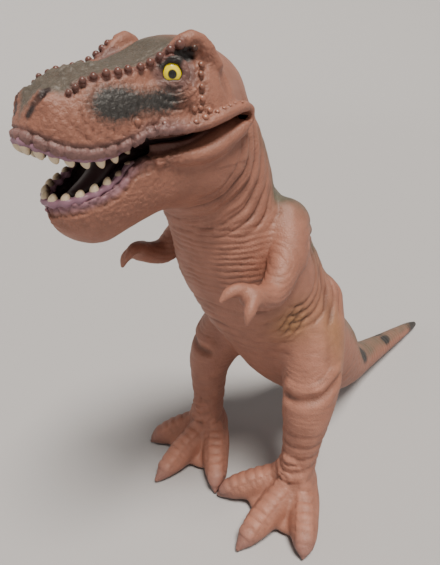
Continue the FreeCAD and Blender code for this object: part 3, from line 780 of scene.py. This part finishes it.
def skin_colours(p, facing, height):
    """The skin's colour with painted shade and highlight in it, and how much dark airbrush lies on it, at
    each point.
    """
    side, forward, up = np.abs(p[:, 0]), p[:, 1], p[:, 2]
    place = np.stack([side, forward, up], 1)
    tint = np.tile(np.array(BROWN), (len(p), 1))
    mottle = 0.5 + 0.5 * rough(p, 30, 111)
    paint(tint, PINK_BROWN, 0.55 * ramp(facing[:, 1], -0.1, 0.6) * fade(up, 290, 320) + 0.3 * mottle)
    # yellow-brown wash in the hip crease and down the back of the thigh
    hip = cloud(place, HIP_KNOT, (16, 20, 20))
    thigh = cloud(place, (66, 6, 178), (22, 16, 40))
    paint(tint, OCHRE, 0.6 * hip + 0.4 * thigh)
    # dark back, hump and tail
    spine = ramp(facing[:, 2] - facing[:, 1], 0.35, 1.0) * fade(side, 26, 48) * fade(up, 330, 350)
    spine *= 1 - ramp(forward, 0, 20) * (up < 110)      # not on the legs and feet
    hump = cloud(place, (34, 40, 292), (17, 17, 14)) + cloud(place, (42, 28, 276), (12, 16, 18))
    hump += 0.8 * cloud(place, (30, 8, 240), (22, 12, 34)) * ramp(facing[:, 2] - facing[:, 1], 0.3, 0.9)
    paint(tint, GREEN_GREY, (0.8 * spine + 0.85 * hump) * (0.85 + 0.5 * rough(p, 12, 113)))
    dark = 0.4 * np.clip(hump, 0, 1)
    ragged = place + 4.0 * rough(p, 12, 117)[:, None]
    for blotch in TAIL_BLOTCHES:
        dark += 1.35 * cloud(ragged, *blotch)
    dark += 0.5 * cloud(place, (70, 30, 141), (12, 14, 7)) * (p[:, 0] > 0)
    # head
    top = curve(HEAD_TOP, forward)
    head = ramp(forward, 92, 118) * ramp(up, 350, 362)
    crown = head * ramp(up - top, -9, -3) * fade(side, 17, 25) * ramp(forward, 108, 126)
    crown *= fade(forward + 0.9 * side, 207, 214)
    paint(tint, OLIVE_GREY, 0.95 * crown)
    dark += 1.2 * cloud(place, *CHEEK_PATCH) + 0.9 * cloud(place, *EYE_SHADE)
    from_eye = np.linalg.norm(place - np.array(EYE), axis=1)
    paint(tint, LID_BROWN, 0.8 * fade(from_eye, 11, 16))
    # painted shade: the skin in the gap between the lids and the eyeball is made near black
    paint(tint, RECESS_SHADE, fade(from_eye, 9.2, 10.2))
    # painted shade: the hollow under the brow, above and behind the eye, is made near black
    hollow, _ = near_line(place, HOLLOW, 5.0)
    paint(tint, UNDER_BROW_SHADE, 1.7 * hollow)
    # painted shade: the inside of the nostril slit is made near black
    nostril, _ = near_line(place, [(*spot, 0) for spot in NOSTRIL], 3.4)
    paint(tint, RECESS_SHADE, 1.3 * nostril)
    lip = (forward > 100) & (up > 290)
    above = up - curve(UPPER_LIP, forward)
    below = curve(LOWER_LIP, forward) - up
    purple = 0.75 * fade(np.abs(above - 2), 4, 9) * ramp(above, -2, 0) * (up > 338) * ramp(forward, 120, 150)
    paint(tint, PURPLE_GREY, np.where(lip, purple, 0))
    chin = fade(np.abs(below - 1), 2.5, 7.5) * ramp(forward, 150, 175) * (up < 346)
    paint(tint, LILAC, np.where(lip, 0.8 * chin, 0))
    # the rows of bumps are darker than the skin round them
    knobs = np.zeros(len(p))
    near = np.nonzero((forward > 90) & (up > 350) & (side > 12))[0]
    for side_at, forward_at, up_at, radius, _ in BROW_BUMPS:
        d = np.linalg.norm(place[near] - (side_at, forward_at, up_at), axis=1) / radius
        knobs[near] = np.maximum(knobs[near], fade(d, 1.0, 1.9))
    paint(tint, BUMP_BROWN, 0.75 * knobs)
    # toes
    for toe in TOES:
        end = np.array(toe[-1][:3], float)
        tip = fade(np.linalg.norm(place - end, axis=1), 5, 26)
        paint(tint, PURPLE_GREY, 0.45 * tip)
    # creases hold the darker wash, and the crests are rubbed paler
    # creases are darkened, partly a real wash and partly painted shade, and the crests are painted paler,
    # partly rubbed paint and partly painted highlight
    paint(tint, CREASE_WASH_AND_SHADE, 0.66 * ramp(-height, 0.45, 2.4))
    tint *= (1 + 0.14 * ramp(height + 0.3, 0.0, 0.9))[:, None]
    # inside of the mouth: painted shade, darker the deeper the skin lies behind the lips, dark brown in the
    # fold at the corner and near black elsewhere
    inside = np.minimum(curve(HEAD_WIDTH, forward), curve(JAW_WIDTH, forward)) - side
    between = (above < 1.5) & (below < 1.5) & (forward > 84) & (forward < 214) & (up > 300)
    chamber = (above < 9) & (below < 9) & (inside > 6.5) & (forward > 100) & (forward < 203) & (up > 305)
    deep = ramp(inside, 1.0, 6.0) * ramp(np.minimum(207 - forward, 30), 2, 7)
    fold = between & (forward < LIP_JOIN + 2) & (inside < 9.5)
    paint(tint, MOUTH_FOLD_SHADE, np.where(fold, 0.85 * ramp(inside, 1.0, 5.0), 0))
    paint(tint, RECESS_SHADE, np.where((between | chamber) & ~fold, 0.97 * deep, 0))
    return tint, np.clip(dark, 0, 1)


# --- materials ----------------------------------------------------------------------------

def material(name, colour, roughness):
    made = bpy.data.materials.new(name)
    made.use_nodes = True
    surface_node = made.node_tree.nodes["Principled BSDF"]
    surface_node.inputs["Base Color"].default_value = (*colour, 1)
    surface_node.inputs["Roughness"].default_value = roughness
    return made, made.node_tree, surface_node


def node(tree, kind, **inputs):
    made = tree.nodes.new(kind)
    for key, value in inputs.items():
        made.inputs[key.replace("_", " ")].default_value = value
    return made


def attribute(tree, name):
    made = tree.nodes.new("ShaderNodeAttribute")
    made.attribute_name = name
    return made


def maths(tree, operation, *values):
    """Output of a math node; each value is a number or another node's output."""
    made = tree.nodes.new("ShaderNodeMath")
    made.operation = operation
    for socket, value in zip(made.inputs, values):
        if isinstance(value, float):
            socket.default_value = value
        else:
            tree.links.new(value, socket)
    return made.outputs[0]


def spread(tree, value, old, new=(0.0, 1.0)):
    """Output that takes one range of a value to another, held at its ends."""
    made = node(tree, "ShaderNodeMapRange", From_Min=old[0], From_Max=old[1], To_Min=new[0], To_Max=new[1])
    tree.links.new(value, made.inputs["Value"])
    return made.outputs["Result"]


def tinted_material(name, colour, roughness):
    """Plain vinyl in the colour of each point's tint."""
    made, tree, shader = material(name, colour, roughness)
    tree.links.new(attribute(tree, "tint").outputs["Color"], shader.inputs["Base Color"])
    return made, shader


def skin_material():
    """Satin vinyl: the painted tint, speckled dark airbrush, and a fine leathery grain."""
    made, tree, shader = material("vinyl_skin", BROWN, 0.55)
    link = tree.links.new
    rest = attribute(tree, "rest")
    speck = node(tree, "ShaderNodeTexNoise", Scale=0.75, Detail=4.0, Roughness=0.7)
    link(rest.outputs["Vector"], speck.inputs["Vector"])
    airbrush = maths(tree, "MULTIPLY_ADD", attribute(tree, "dark").outputs["Fac"], 1.25, -0.62)
    cut = spread(tree, maths(tree, "ADD", airbrush, speck.outputs["Fac"]), (0.34, 0.95))
    blotch = node(tree, "ShaderNodeTexNoise", Scale=0.11, Detail=5.0, Roughness=0.6)
    link(rest.outputs["Vector"], blotch.inputs["Vector"])
    vary = spread(tree, blotch.outputs["Fac"], (0.3, 0.7), (0.86, 1.12))
    tinted = tree.nodes.new("ShaderNodeVectorMath")
    tinted.operation = "SCALE"
    link(attribute(tree, "tint").outputs["Color"], tinted.inputs[0])
    link(vary, tinted.inputs["Scale"])
    mix = tree.nodes.new("ShaderNodeMix")
    mix.data_type = "RGBA"
    mix.inputs[7].default_value = (*AIRBRUSH, 1)      # 6 and 7 are its two colours
    link(cut, mix.inputs["Factor"])
    link(tinted.outputs["Vector"], mix.inputs[6])
    link(mix.outputs[2], shader.inputs["Base Color"])
    cells = node(tree, "ShaderNodeTexVoronoi", Scale=0.42)
    cells.feature = "DISTANCE_TO_EDGE"
    link(rest.outputs["Vector"], cells.inputs["Vector"])
    groove = spread(tree, cells.outputs["Distance"], (0.0, 0.25))
    grain = node(tree, "ShaderNodeTexNoise", Scale=0.9, Detail=3.0, Roughness=0.6)
    link(rest.outputs["Vector"], grain.inputs["Vector"])
    high = maths(tree, "MULTIPLY_ADD", groove, 0.45, grain.outputs["Fac"])
    bump = node(tree, "ShaderNodeBump", Strength=0.5, Distance=0.0005)
    link(high, bump.inputs["Height"])
    link(bump.outputs["Normal"], shader.inputs["Normal"])
    shader.inputs["Subsurface Weight"].default_value = 0.05
    shader.inputs["Subsurface Radius"].default_value = (0.004, 0.0015, 0.001)
    return made


# --- pieces -------------------------------------------------------------------------------

def mesh_object(name, points, faces, finish, piece_slot, facing=None, **attributes):
    """Object from sculpting-space points; attributes are per point. facing holds its normals, if given."""
    data = bpy.data.meshes.new(name)
    data.from_pydata(to_row(points).tolist(), [], [tuple(face)[::-1] for face in faces])
    for key, values in attributes.items():
        values = np.asarray(values, np.float32)
        if key == "tint":
            layer = data.attributes.new(key, "FLOAT_COLOR", "POINT")
            layer.data.foreach_set("color", np.c_[values, np.ones(len(values))].astype(np.float32).ravel())
        elif values.ndim == 2:
            layer = data.attributes.new(key, "FLOAT_VECTOR", "POINT")
            layer.data.foreach_set("vector", values.ravel())
        else:
            layer = data.attributes.new(key, "FLOAT", "POINT")
            layer.data.foreach_set("value", values)
    data.update()
    data.polygons.foreach_set("use_smooth", np.ones(len(data.polygons), bool))
    if facing is not None:
        data.normals_split_custom_set_from_vertices((facing * (1, -1, 1)).tolist())
    data.materials.append(finish)
    made = bpy.data.objects.new(name, data)
    bpy.context.scene.collection.objects.link(made)
    return made


def outward(name):
    """Turns an object's faces outward."""
    data = bpy.data.objects[name].data
    shape = bmesh.new()
    shape.from_mesh(data)
    bmesh.ops.recalc_face_normals(shape, faces=shape.faces)
    shape.to_mesh(data)
    shape.free()
    data.update()


def quads(rings, sides):
    """Four-sided faces between rings of points that are numbered one after another."""
    faces = []
    for first in range(0, (rings - 1) * sides, sides):
        for k in range(sides):
            a, b = first + k, first + (k + 1) % sides
            faces.append((a, b, b + sides, a + sides))
    return faces


def closed(rings, start, end):
    """Points and faces of a tube through rings of points, with a fan of triangles at each end."""
    count, sides = rings.shape[:2]
    points = np.vstack([rings.reshape(-1, 3), start, end])
    faces = quads(count, sides)
    last = (count - 1) * sides
    for k in range(sides):
        faces.append((k, (k + 1) % sides, len(points) - 2))
        faces.append((last + k, last + (k + 1) % sides, len(points) - 1))
    return points, faces


def sweep(path, wide, high, sides=10):
    """Closed tube along a path of points. wide and high are its half sizes at each point."""
    path = np.asarray(path, float)
    tangent = np.gradient(path, axis=0)
    tangent /= np.linalg.norm(tangent, axis=1)[:, None]
    across = np.cross(tangent, (0, 0, 1.0))
    across /= np.maximum(np.linalg.norm(across, axis=1), 1e-6)[:, None]
    rise = np.cross(across, tangent)
    angle = np.linspace(0, 2 * np.pi, sides, endpoint=False)
    wide = np.broadcast_to(wide, len(path))
    high = np.broadcast_to(high, len(path))
    rings = (path[:, None] + np.cos(angle)[None, :, None] * across[:, None] * wide[:, None, None]
             + np.sin(angle)[None, :, None] * rise[:, None] * high[:, None, None])
    return closed(rings, path[0], path[-1])


def together(parts):
    """One set of points and faces from several."""
    points, faces, count = [], [], 0
    for more_points, more_faces in parts:
        points.append(more_points)
        faces += [tuple(np.array(face) + count) for face in more_faces]
        count += len(more_points)
    return np.vstack(points), faces


def arch(width, height, inset, lift, back):
    """Even path round the front of the mouth, from one corner to the other."""
    forward = np.linspace(back, width[-1][0] - 1.0, 80)
    side = curve(width, forward) - inset
    forward, side = forward[side > 0.5], side[side > 0.5]
    up = curve(height, forward) + lift
    half = np.stack([side, forward, up], 1)
    path = np.vstack([half, half[::-1] * (-1, 1, 1)])
    length = np.r_[0, np.cumsum(np.linalg.norm(np.diff(path, axis=0), axis=1))]
    even = np.linspace(0, length[-1], 140)
    return np.stack([np.interp(even, length, path[:, n]) for n in range(3)], 1), length[-1]


# parts of a tooth's length, from inside the gum to the tip, and how thick it is there
TOOTH_LEVELS = np.array([-0.35, -0.1, 0.15, 0.4, 0.62, 0.8, 0.92, 1.0])
TOOTH_TAPER = np.array([0.9, 1.0, 1.0, 0.9, 0.76, 0.56, 0.36, 0.08])


def tooth_row(path, length, spacing, long, direction):
    """Blunt curved teeth set evenly along an arch."""
    parts = []
    along = np.linspace(0, length, len(path))
    count = int(length / spacing)
    for number in range(count):
        at = (number + 0.5) * length / count
        root = np.array([np.interp(at, along, path[:, n]) for n in range(3)])
        front = 1 - abs(2 * (number + 0.5) / count - 1)
        size = long * (0.72 + 0.35 * np.sin(np.pi * min(front * 1.5, 1.0) * 0.62))
        size *= 1 + 0.13 * math.sin(7.3 * number)
        small = 0.45 + 0.55 * ramp(root[1], 164, 184)
        size *= small
        thick = 2.9 * (0.85 + 0.15 * front) * (0.4 + 0.6 * small)
        out = root - np.array([0, 150, root[2]])
        out /= np.linalg.norm(out)
        t = TOOTH_LEVELS
        spine = root + np.outer(t * size, (0, 0, direction)) + np.outer(0.5 * t * (1.2 - t), out)
        spine += np.outer(0.9 * t * t, (0, -1, 0))
        parts.append(rod(spine, thick * TOOTH_TAPER))
    return together(parts)


def rod(spine, radius, sides=12):
    """Upright round rod whose radius varies."""
    angle = np.linspace(0, 2 * np.pi, sides, endpoint=False)
    ring = np.stack([np.cos(angle), np.sin(angle), 0 * angle], 1)
    return closed(spine[:, None] + ring[None] * radius[:, None, None], spine[0], spine[-1])


def sphere(centre, radius, gaze, rings=40, sides=56):
    """Ball whose pole points along gaze, and the angle of each of its points from that pole."""
    gaze = np.array(gaze, float) / np.linalg.norm(gaze)
    right = np.cross(gaze, (0, 0, 1.0))
    right /= np.linalg.norm(right)
    up = np.cross(right, gaze)
    tilt = np.linspace(0, np.pi, rings + 1)[1:-1]
    angle = np.linspace(0, 2 * np.pi, sides, endpoint=False)
    t, a = [grid.ravel() for grid in np.meshgrid(tilt, angle, indexing="ij")]
    points = (np.outer(np.cos(t), gaze) + np.outer(np.sin(t) * np.cos(a), right)
              + np.outer(np.sin(t) * np.sin(a), up)) * radius + centre
    points, faces = closed(points.reshape(-1, sides, 3), gaze * radius + centre, -gaze * radius + centre)
    return points, faces, np.r_[t, 0, np.pi]


def skin_piece(name, keep, skin, finish):
    """The part of the skin whose faces are marked, with its open edges closed inside the toy."""
    faces = skin["faces"][keep]
    used, number = np.unique(faces.ravel(), return_inverse=True)
    points = skin["points"][used]
    faces = number.reshape(-1, 4)
    layers = {key: skin[key][used] for key in ("facing", "tint", "dark", "rest")}
    faces = [tuple(face) for face in faces.tolist()]
    for rim in open_rims(number.reshape(-1, 4)):
        centre = points[rim].mean(0)
        faces += [(a, b, len(points)) for a, b in zip(rim, rim[1:] + rim[:1])]
        points = np.vstack([points, centre])
        layers = {key: np.concatenate([values, values[rim].mean(0)[None]]) for key, values in layers.items()}
    return mesh_object(name, points, faces, finish, "vinyl_skin", **layers)


def open_rims(faces):
    """Numbers of the points round each open edge loop."""
    edges = np.concatenate([faces[:, [0, 1]], faces[:, [1, 2]], faces[:, [2, 3]], faces[:, [3, 0]]])
    known = {(a, b) for a, b in edges.tolist()}
    following = {}
    for a, b in known:
        if (b, a) not in known:
            following.setdefault(b, []).append(a)
    rims = []
    while following:
        start = next(iter(following))
        loop = [start]
        while True:
            options = following[loop[-1]]
            step = options.pop()
            if not options:
                del following[loop[-1]]
            if step == start or step not in following:
                break
            loop.append(step)
        if len(loop) > 3:
            rims.append(loop)
    return rims


def sculpted(field, axes, moulding, mirrored):
    """Mesh of a field with its relief, its normals and its colours."""
    grid = sample(field, axes)
    side_lines = axes[0]
    if mirrored:
        grid = np.concatenate([grid[:0:-1], grid])
        side_lines = np.r_[-side_lines[:0:-1], side_lines]
    points, faces = surface(grid, (side_lines, *axes[1:]))
    points = relax(points, faces)
    facing = normals_of(points, faces)
    height = moulding(points, facing)
    moulded = points + facing * height[:, None]
    moulded[:, 2] = np.maximum(moulded[:, 2], 0)
    tint, dark = skin_colours(points, facing, height)
    return {"points": moulded, "faces": faces, "facing": normals_of(moulded, faces), "rest": points,
            "tint": tint, "dark": dark}


vinyl = skin_material()
body_skin = sculpted(skin_field, (lines(0, 104, 0, 44), lines(-330, 222, 84, 216), lines(-3, 408, 222, 404)),
                     relief, True)
middle = body_skin["rest"][body_skin["faces"]].mean(1)
side, forward, up = np.abs(middle[:, 0]), middle[:, 1], middle[:, 2]

NECK_DIRECTION = np.array([0.0, 0.316, 0.949])
NECK_START = 280.0            # millimetres along that direction
JAW_DIRECTION = np.array([0.0, 0.846, 0.533])
JAW_START = 261.7

of_tail = forward < TAIL_BEND_START + 2
of_leg = (up < 88) & (side > 22) & (forward > 4) & ~of_tail
above_neck = middle @ NECK_DIRECTION > NECK_START - 3
mouth_middle = (curve(UPPER_LIP, forward) + curve(LOWER_LIP, forward)) / 2
of_jaw = above_neck & (middle @ JAW_DIRECTION > JAW_START) & (up < mouth_middle) & (up > 283)
of_head = above_neck & ~of_jaw
of_torso = ~(of_tail | of_leg | above_neck)

torso = skin_piece("torso_vinyl", of_torso, body_skin, vinyl)
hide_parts("torso_skin", "torso_stuffing")
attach(torso, "torso")

head = skin_piece("head_vinyl", of_head, body_skin, vinyl)
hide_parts("head_skin", "head_stuffing")
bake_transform(head)

jaw = skin_piece("jaw_vinyl", of_jaw, body_skin, vinyl)
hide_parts("jaw_skin", "jaw_stuffing")
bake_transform(jaw)

tail = skin_piece("tail_vinyl", of_tail, body_skin, vinyl)
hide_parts("tail_skin", "tail_stuffing")
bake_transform(tail)

arm_skin = sculpted(arm_field, (np.arange(26, 82, 1.0), np.arange(26, 138, 1.0), np.arange(218, 288, 1.0)),
                    arm_relief, False)
for name, sign in (("left", 1), ("right", -1)):
    leg = skin_piece(f"{name}_leg_vinyl", of_leg & (middle[:, 0] * sign > 0), body_skin, vinyl)
    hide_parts(f"{name}_leg_skin", f"{name}_leg_stuffing")
    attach(leg, "torso")
    flipped = dict(arm_skin)
    if sign < 0:
        flipped["points"] = arm_skin["points"] * (-1, 1, 1)
        flipped["facing"] = arm_skin["facing"] * (-1, 1, 1)
        flipped["faces"] = arm_skin["faces"][:, ::-1]
    arm = skin_piece(f"{name}_arm_vinyl", np.ones(len(arm_skin["faces"]), bool), flipped, vinyl)
    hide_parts(f"{name}_arm_skin", f"{name}_arm_stuffing")
    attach(arm, f"{name}_arm")

# beads along the brow and behind the eye, each seated on the skin
rest_side, rest_forward, rest_up = body_skin["rest"].T
on_skull = np.nonzero((rest_forward > 90) & (rest_up > 350) & (rest_side > 12))[0]
domes, shades = [], []
for *spot, radius, tall in BROW_BUMPS + SINGLE_BUMPS:
    seat = on_skull[np.argmin(np.linalg.norm(body_skin["rest"][on_skull] - spot, axis=1))]
    out = body_skin["facing"][seat]
    on_brow = spot[2] > 367
    flat = 1.1 * tall / radius * (1.0 if on_brow else 0.7)
    points, faces, _ = sphere((0, 0, 0), 0.86 * radius, out, 12, 18)
    points -= np.outer(points @ out, out) * (1 - flat)
    points += body_skin["points"][seat] - 0.1 * out
    shade = body_skin["tint"][seat] * (0.72 if on_brow else 1.0)
    for sign in (1, -1):
        domes.append((points * (sign, 1, 1), faces))
        shades.append(np.tile(shade, (len(points), 1)))
bead_finish, _ = tinted_material("bead_vinyl", BROWN, 0.36)
beads = mesh_object("head_beads", *together(domes), bead_finish, "vinyl_skin", tint=np.vstack(shades))
outward(beads.name)
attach(beads, "head")

# gums, teeth and tongue
gum_finish, _ = tinted_material("gum_vinyl", (0.24, 0.12, 0.165), 0.45)
tooth_finish, _ = tinted_material("tooth_vinyl", TOOTH, 0.4)
# one near-black finish serves the tongue's dark colour and the painted shade of the sheet at the back of the
# mouth
tongue_and_shade_finish, _, _ = material("tongue_vinyl", TONGUE_AND_MOUTH_SHADE, 0.45)

TOOTH_SPACING = 7.3
ARCHES = [
    # outline and height of the lip, depth inside it, lift, where it starts, where the lip's shade ends,
    # length of a tooth and the way that it points, body
    ("upper", HEAD_WIDTH, UPPER_LIP, 5.0, 1.8, 159, 165, 4.5, -1, "head"),
    ("lower", JAW_WIDTH, LOWER_LIP, 4.9, -1.2, 163, 170, 3.9, 1, "jaw"),
]
for label, width, height, inset, lift, back, shaded, long, sense, body in ARCHES:
    path, length = arch(width, height, inset, lift, back)
    along = np.linspace(0, length, len(path))
    scallop = 1 + 0.22 * np.cos(2 * np.pi * along / (length / int(length / TOOTH_SPACING)) + np.pi)
    taper = 0.55 + 0.45 * ramp(path[:, 1], 164, 184)
    points, faces = sweep(path, 2.9 * scallop * taper, 2.4 * scallop * taper)
    tint = np.tile(GUM_SHADED, (len(points), 1))
    paint(tint, GUM, ramp(points[:, 1], 160, 182))
    gum = mesh_object(f"{label}_gum_band", points, faces, gum_finish, "gum_vinyl", tint=tint)
    outward(gum.name)
    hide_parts(f"{label}_gum")
    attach(gum, body)
    points, faces = tooth_row(path + (0, 0, sense * 1.2), length, TOOTH_SPACING, long, sense)
    nearest = np.array([np.argmin(np.abs(path[:, :2] - point[:2]).sum(1)) for point in points])
    offset = (points - path[nearest])[:, :2]
    outer = path[nearest, :2] - (0, 150)
    outer /= np.linalg.norm(outer, axis=1)[:, None]
    face_out = ramp((offset * outer).sum(1), -1.4, 0.2)
    tint = np.tile(TOOTH_SHADED, (len(points), 1))
    paint(tint, TOOTH, face_out * (0.15 + 0.85 * ramp(points[:, 1], shaded, shaded + 13)))
    teeth = mesh_object(f"{label}_tooth_row", points, faces, tooth_finish, "tooth_vinyl", tint=tint)
    outward(teeth.name)
    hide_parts(f"{label}_teeth")
    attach(teeth, body)

ridge_forward = np.linspace(112, 190, 40)
ridge = np.stack([0 * ridge_forward, ridge_forward, curve(LOWER_LIP, ridge_forward) - 4.0], 1)
swell = np.sin(np.linspace(0.12, np.pi - 0.12, 40)) ** 0.5
points, faces = sweep(ridge, 10.5 * swell, 5.5 * swell, 20)
tongue = mesh_object("tongue_ridge", points, faces, tongue_and_shade_finish, "tongue_vinyl")
outward(tongue.name)
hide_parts("tongue")
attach(tongue, "jaw")

# near-black sheet at the back of the mouth, which closes the view through the lips: painted shade that stands
# in for the dark inside of the mouth
SHADE_SHEET_CENTRE = (0, 124, 346)
SHADE_SHEET_SIZE = (23, 29, 15)
shade_sheet_points, shade_sheet_faces, _ = sphere((0, 0, 0), 1.0, (0, 1, 0), 24, 32)
shade_sheet_points = shade_sheet_points * SHADE_SHEET_SIZE + SHADE_SHEET_CENTRE
shade_sheet = mesh_object("throat_shade_sheet", shade_sheet_points, shade_sheet_faces, tongue_and_shade_finish, "tongue_vinyl")
outward(shade_sheet.name)
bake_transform(shade_sheet)

# eyes
eye_finish, eye_shader = tinted_material("eye_gloss", (0.85, 0.75, 0.05), 0.22)
eye_shader.inputs["Coat Weight"].default_value = 0.25
eye_shader.inputs["Coat Roughness"].default_value = 0.05
for name, sign in (("left", 1), ("right", -1)):
    points, faces, away = sphere(np.array(EYE) * (sign, 1, 1), EYE_RADIUS, GAZE * (sign, 1, 1))
    tint = np.tile(IRIS, (len(points), 1))
    spokes = 0.5 + 0.5 * noise(points, 1.6, 121)
    paint(tint, IRIS_SPOKE, 0.45 * spokes * ramp(away, 0.25, 0.5))
    paint(tint, IRIS_RIM, ramp(away, 0.70, 0.86))
    paint(tint, PUPIL, fade(away, 0.265, 0.29))
    eye = mesh_object(f"{name}_eyeball", points, faces, eye_finish, "eye_gloss", tint=tint)
    outward(eye.name)
    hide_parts(f"{name}_eye")
    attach(eye, "head")

# plug that closes the stuffing hole under the belly
plug_finish, _, _ = material("plug_vinyl", PLUG, 0.5)
PLUG_FORWARD = -38.0
PLUG_RADIUS = 12.0
PLUG_SIDES = 48
below = np.linalg.norm(body_skin["points"][:, :2] - (0, PLUG_FORWARD), axis=1) < PLUG_RADIUS
below &= body_skin["facing"][:, 2] < -0.3
under = body_skin["points"][below]
slope = np.polyfit(under[:, 1] - PLUG_FORWARD, under[:, 2], 1)
PLUG_PROFILE = [(0.01, -1.3), (7, -1.3), (7.6, -0.5), (8.4, -0.5), (9, -1.3), (11, -1.1), (12, -0.2), (12, 3),
                (0.01, 3)]      # radius and height
angle = np.linspace(0, 2 * np.pi, PLUG_SIDES, endpoint=False)
rings = []
for radius, rise in PLUG_PROFILE:
    x, y = radius * np.cos(angle), radius * np.sin(angle)
    rings.append(np.stack([x, PLUG_FORWARD + y, slope[1] + slope[0] * y + rise], 1))
faces = quads(len(rings), PLUG_SIDES)
plug = mesh_object("filling_plug_disc", np.vstack(rings), faces, plug_finish, "plug_vinyl")
outward(plug.name)
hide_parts("filling_plug")
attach(plug, "torso")

# --- floor, light and camera --------------------------------------------------------------

FLAT_RADIUS = 2.0         # the floor is level this far from the toy, then it curves up all round
CURVE_RADIUS = 4.0        # from here it rises at 45 degrees
STAGE_RADIUS = 9.0
FLOOR_SIDES = 96


def floor_height(radius):
    bend = CURVE_RADIUS - FLAT_RADIUS
    curved = np.clip(radius - FLAT_RADIUS, 0, bend) ** 2 / (2 * bend)
    return curved + np.maximum(radius - CURVE_RADIUS, 0) - 0.0002


turns = np.linspace(0, 2 * np.pi, FLOOR_SIDES, endpoint=False)
radii = np.r_[0.05, FLAT_RADIUS, np.linspace(FLAT_RADIUS, CURVE_RADIUS, 16)[1:], STAGE_RADIUS]
rings = [(radius * math.cos(turn), radius * math.sin(turn), floor_height(radius))
         for radius in radii for turn in turns]
faces = [(a, d, c, b) for a, b, c, d in quads(len(radii), FLOOR_SIDES)]
floor_data = bpy.data.meshes.new("floor")
floor_data.from_pydata(rings, [], faces + [tuple(range(FLOOR_SIDES))])
floor_data.polygons.foreach_set("use_smooth", np.ones(len(floor_data.polygons), bool))
floor_data.materials.append(material("floor", BACKDROP, 0.7)[0])
floor = bpy.data.objects.new("floor", floor_data)
bpy.context.scene.collection.objects.link(floor)

world = bpy.data.worlds.new("studio")
world.use_nodes = True
world.node_tree.nodes["Background"].inputs["Color"].default_value = (0.93, 0.92, 0.90, 1)
world.node_tree.nodes["Background"].inputs["Strength"].default_value = 0.05
bpy.context.scene.world = world


def soft_light(name, place, target, size, power, colour):
    lamp = bpy.data.lights.new(name, "AREA")
    lamp.size = size
    lamp.energy = power
    lamp.color = colour
    made = bpy.data.objects.new(name, lamp)
    made.location = place
    made.rotation_euler = (Vector(target) - Vector(place)).to_track_quat("-Z", "Y").to_euler()
    bpy.context.scene.collection.objects.link(made)


soft_light("fill", (-0.9, -0.9, 0.7), (0, 0, 0.2), 0.9, 0.5, (1.0, 0.95, 0.90))
KEY_STRENGTH = 5.6
KEY_ANGLE = 0.38              # how wide the sun looks, in radians, for the softness of its shadows
KEY_COLOUR = (1.0, 0.92, 0.82)
KEY_DIRECTION = (-0.35, 0.08, -1.0)
key = bpy.data.lights.new("key", "SUN")
key.energy = KEY_STRENGTH
key.angle = KEY_ANGLE
key.color = KEY_COLOUR
key_light = bpy.data.objects.new("key", key)
key_light.rotation_euler = Vector(KEY_DIRECTION).to_track_quat("-Z", "Y").to_euler()
bpy.context.scene.collection.objects.link(key_light)

CAMERA_PLACE = Vector((0.2497, -0.3792, 0.400))
LOOK = Vector((-0.6316, 0.6333, -0.4473)).normalized()
CAMERA_ROLL = math.radians(1.47)
FOCAL_LENGTH = 32.5
level_right = LOOK.cross(Vector((0, 0, 1))).normalized()
level_up = level_right.cross(LOOK)
right = math.cos(CAMERA_ROLL) * level_right - math.sin(CAMERA_ROLL) * level_up
top = math.sin(CAMERA_ROLL) * level_right + math.cos(CAMERA_ROLL) * level_up
lens = bpy.data.cameras.new("camera")
lens.lens = FOCAL_LENGTH
lens.sensor_width = 36.0
lens.clip_start = 0.01
camera = bpy.data.objects.new("camera", lens)
camera.matrix_world = Matrix.Translation(CAMERA_PLACE) @ Matrix((right, top, -LOOK)).transposed().to_4x4()
bpy.context.scene.collection.objects.link(camera)
bpy.context.scene.camera = camera
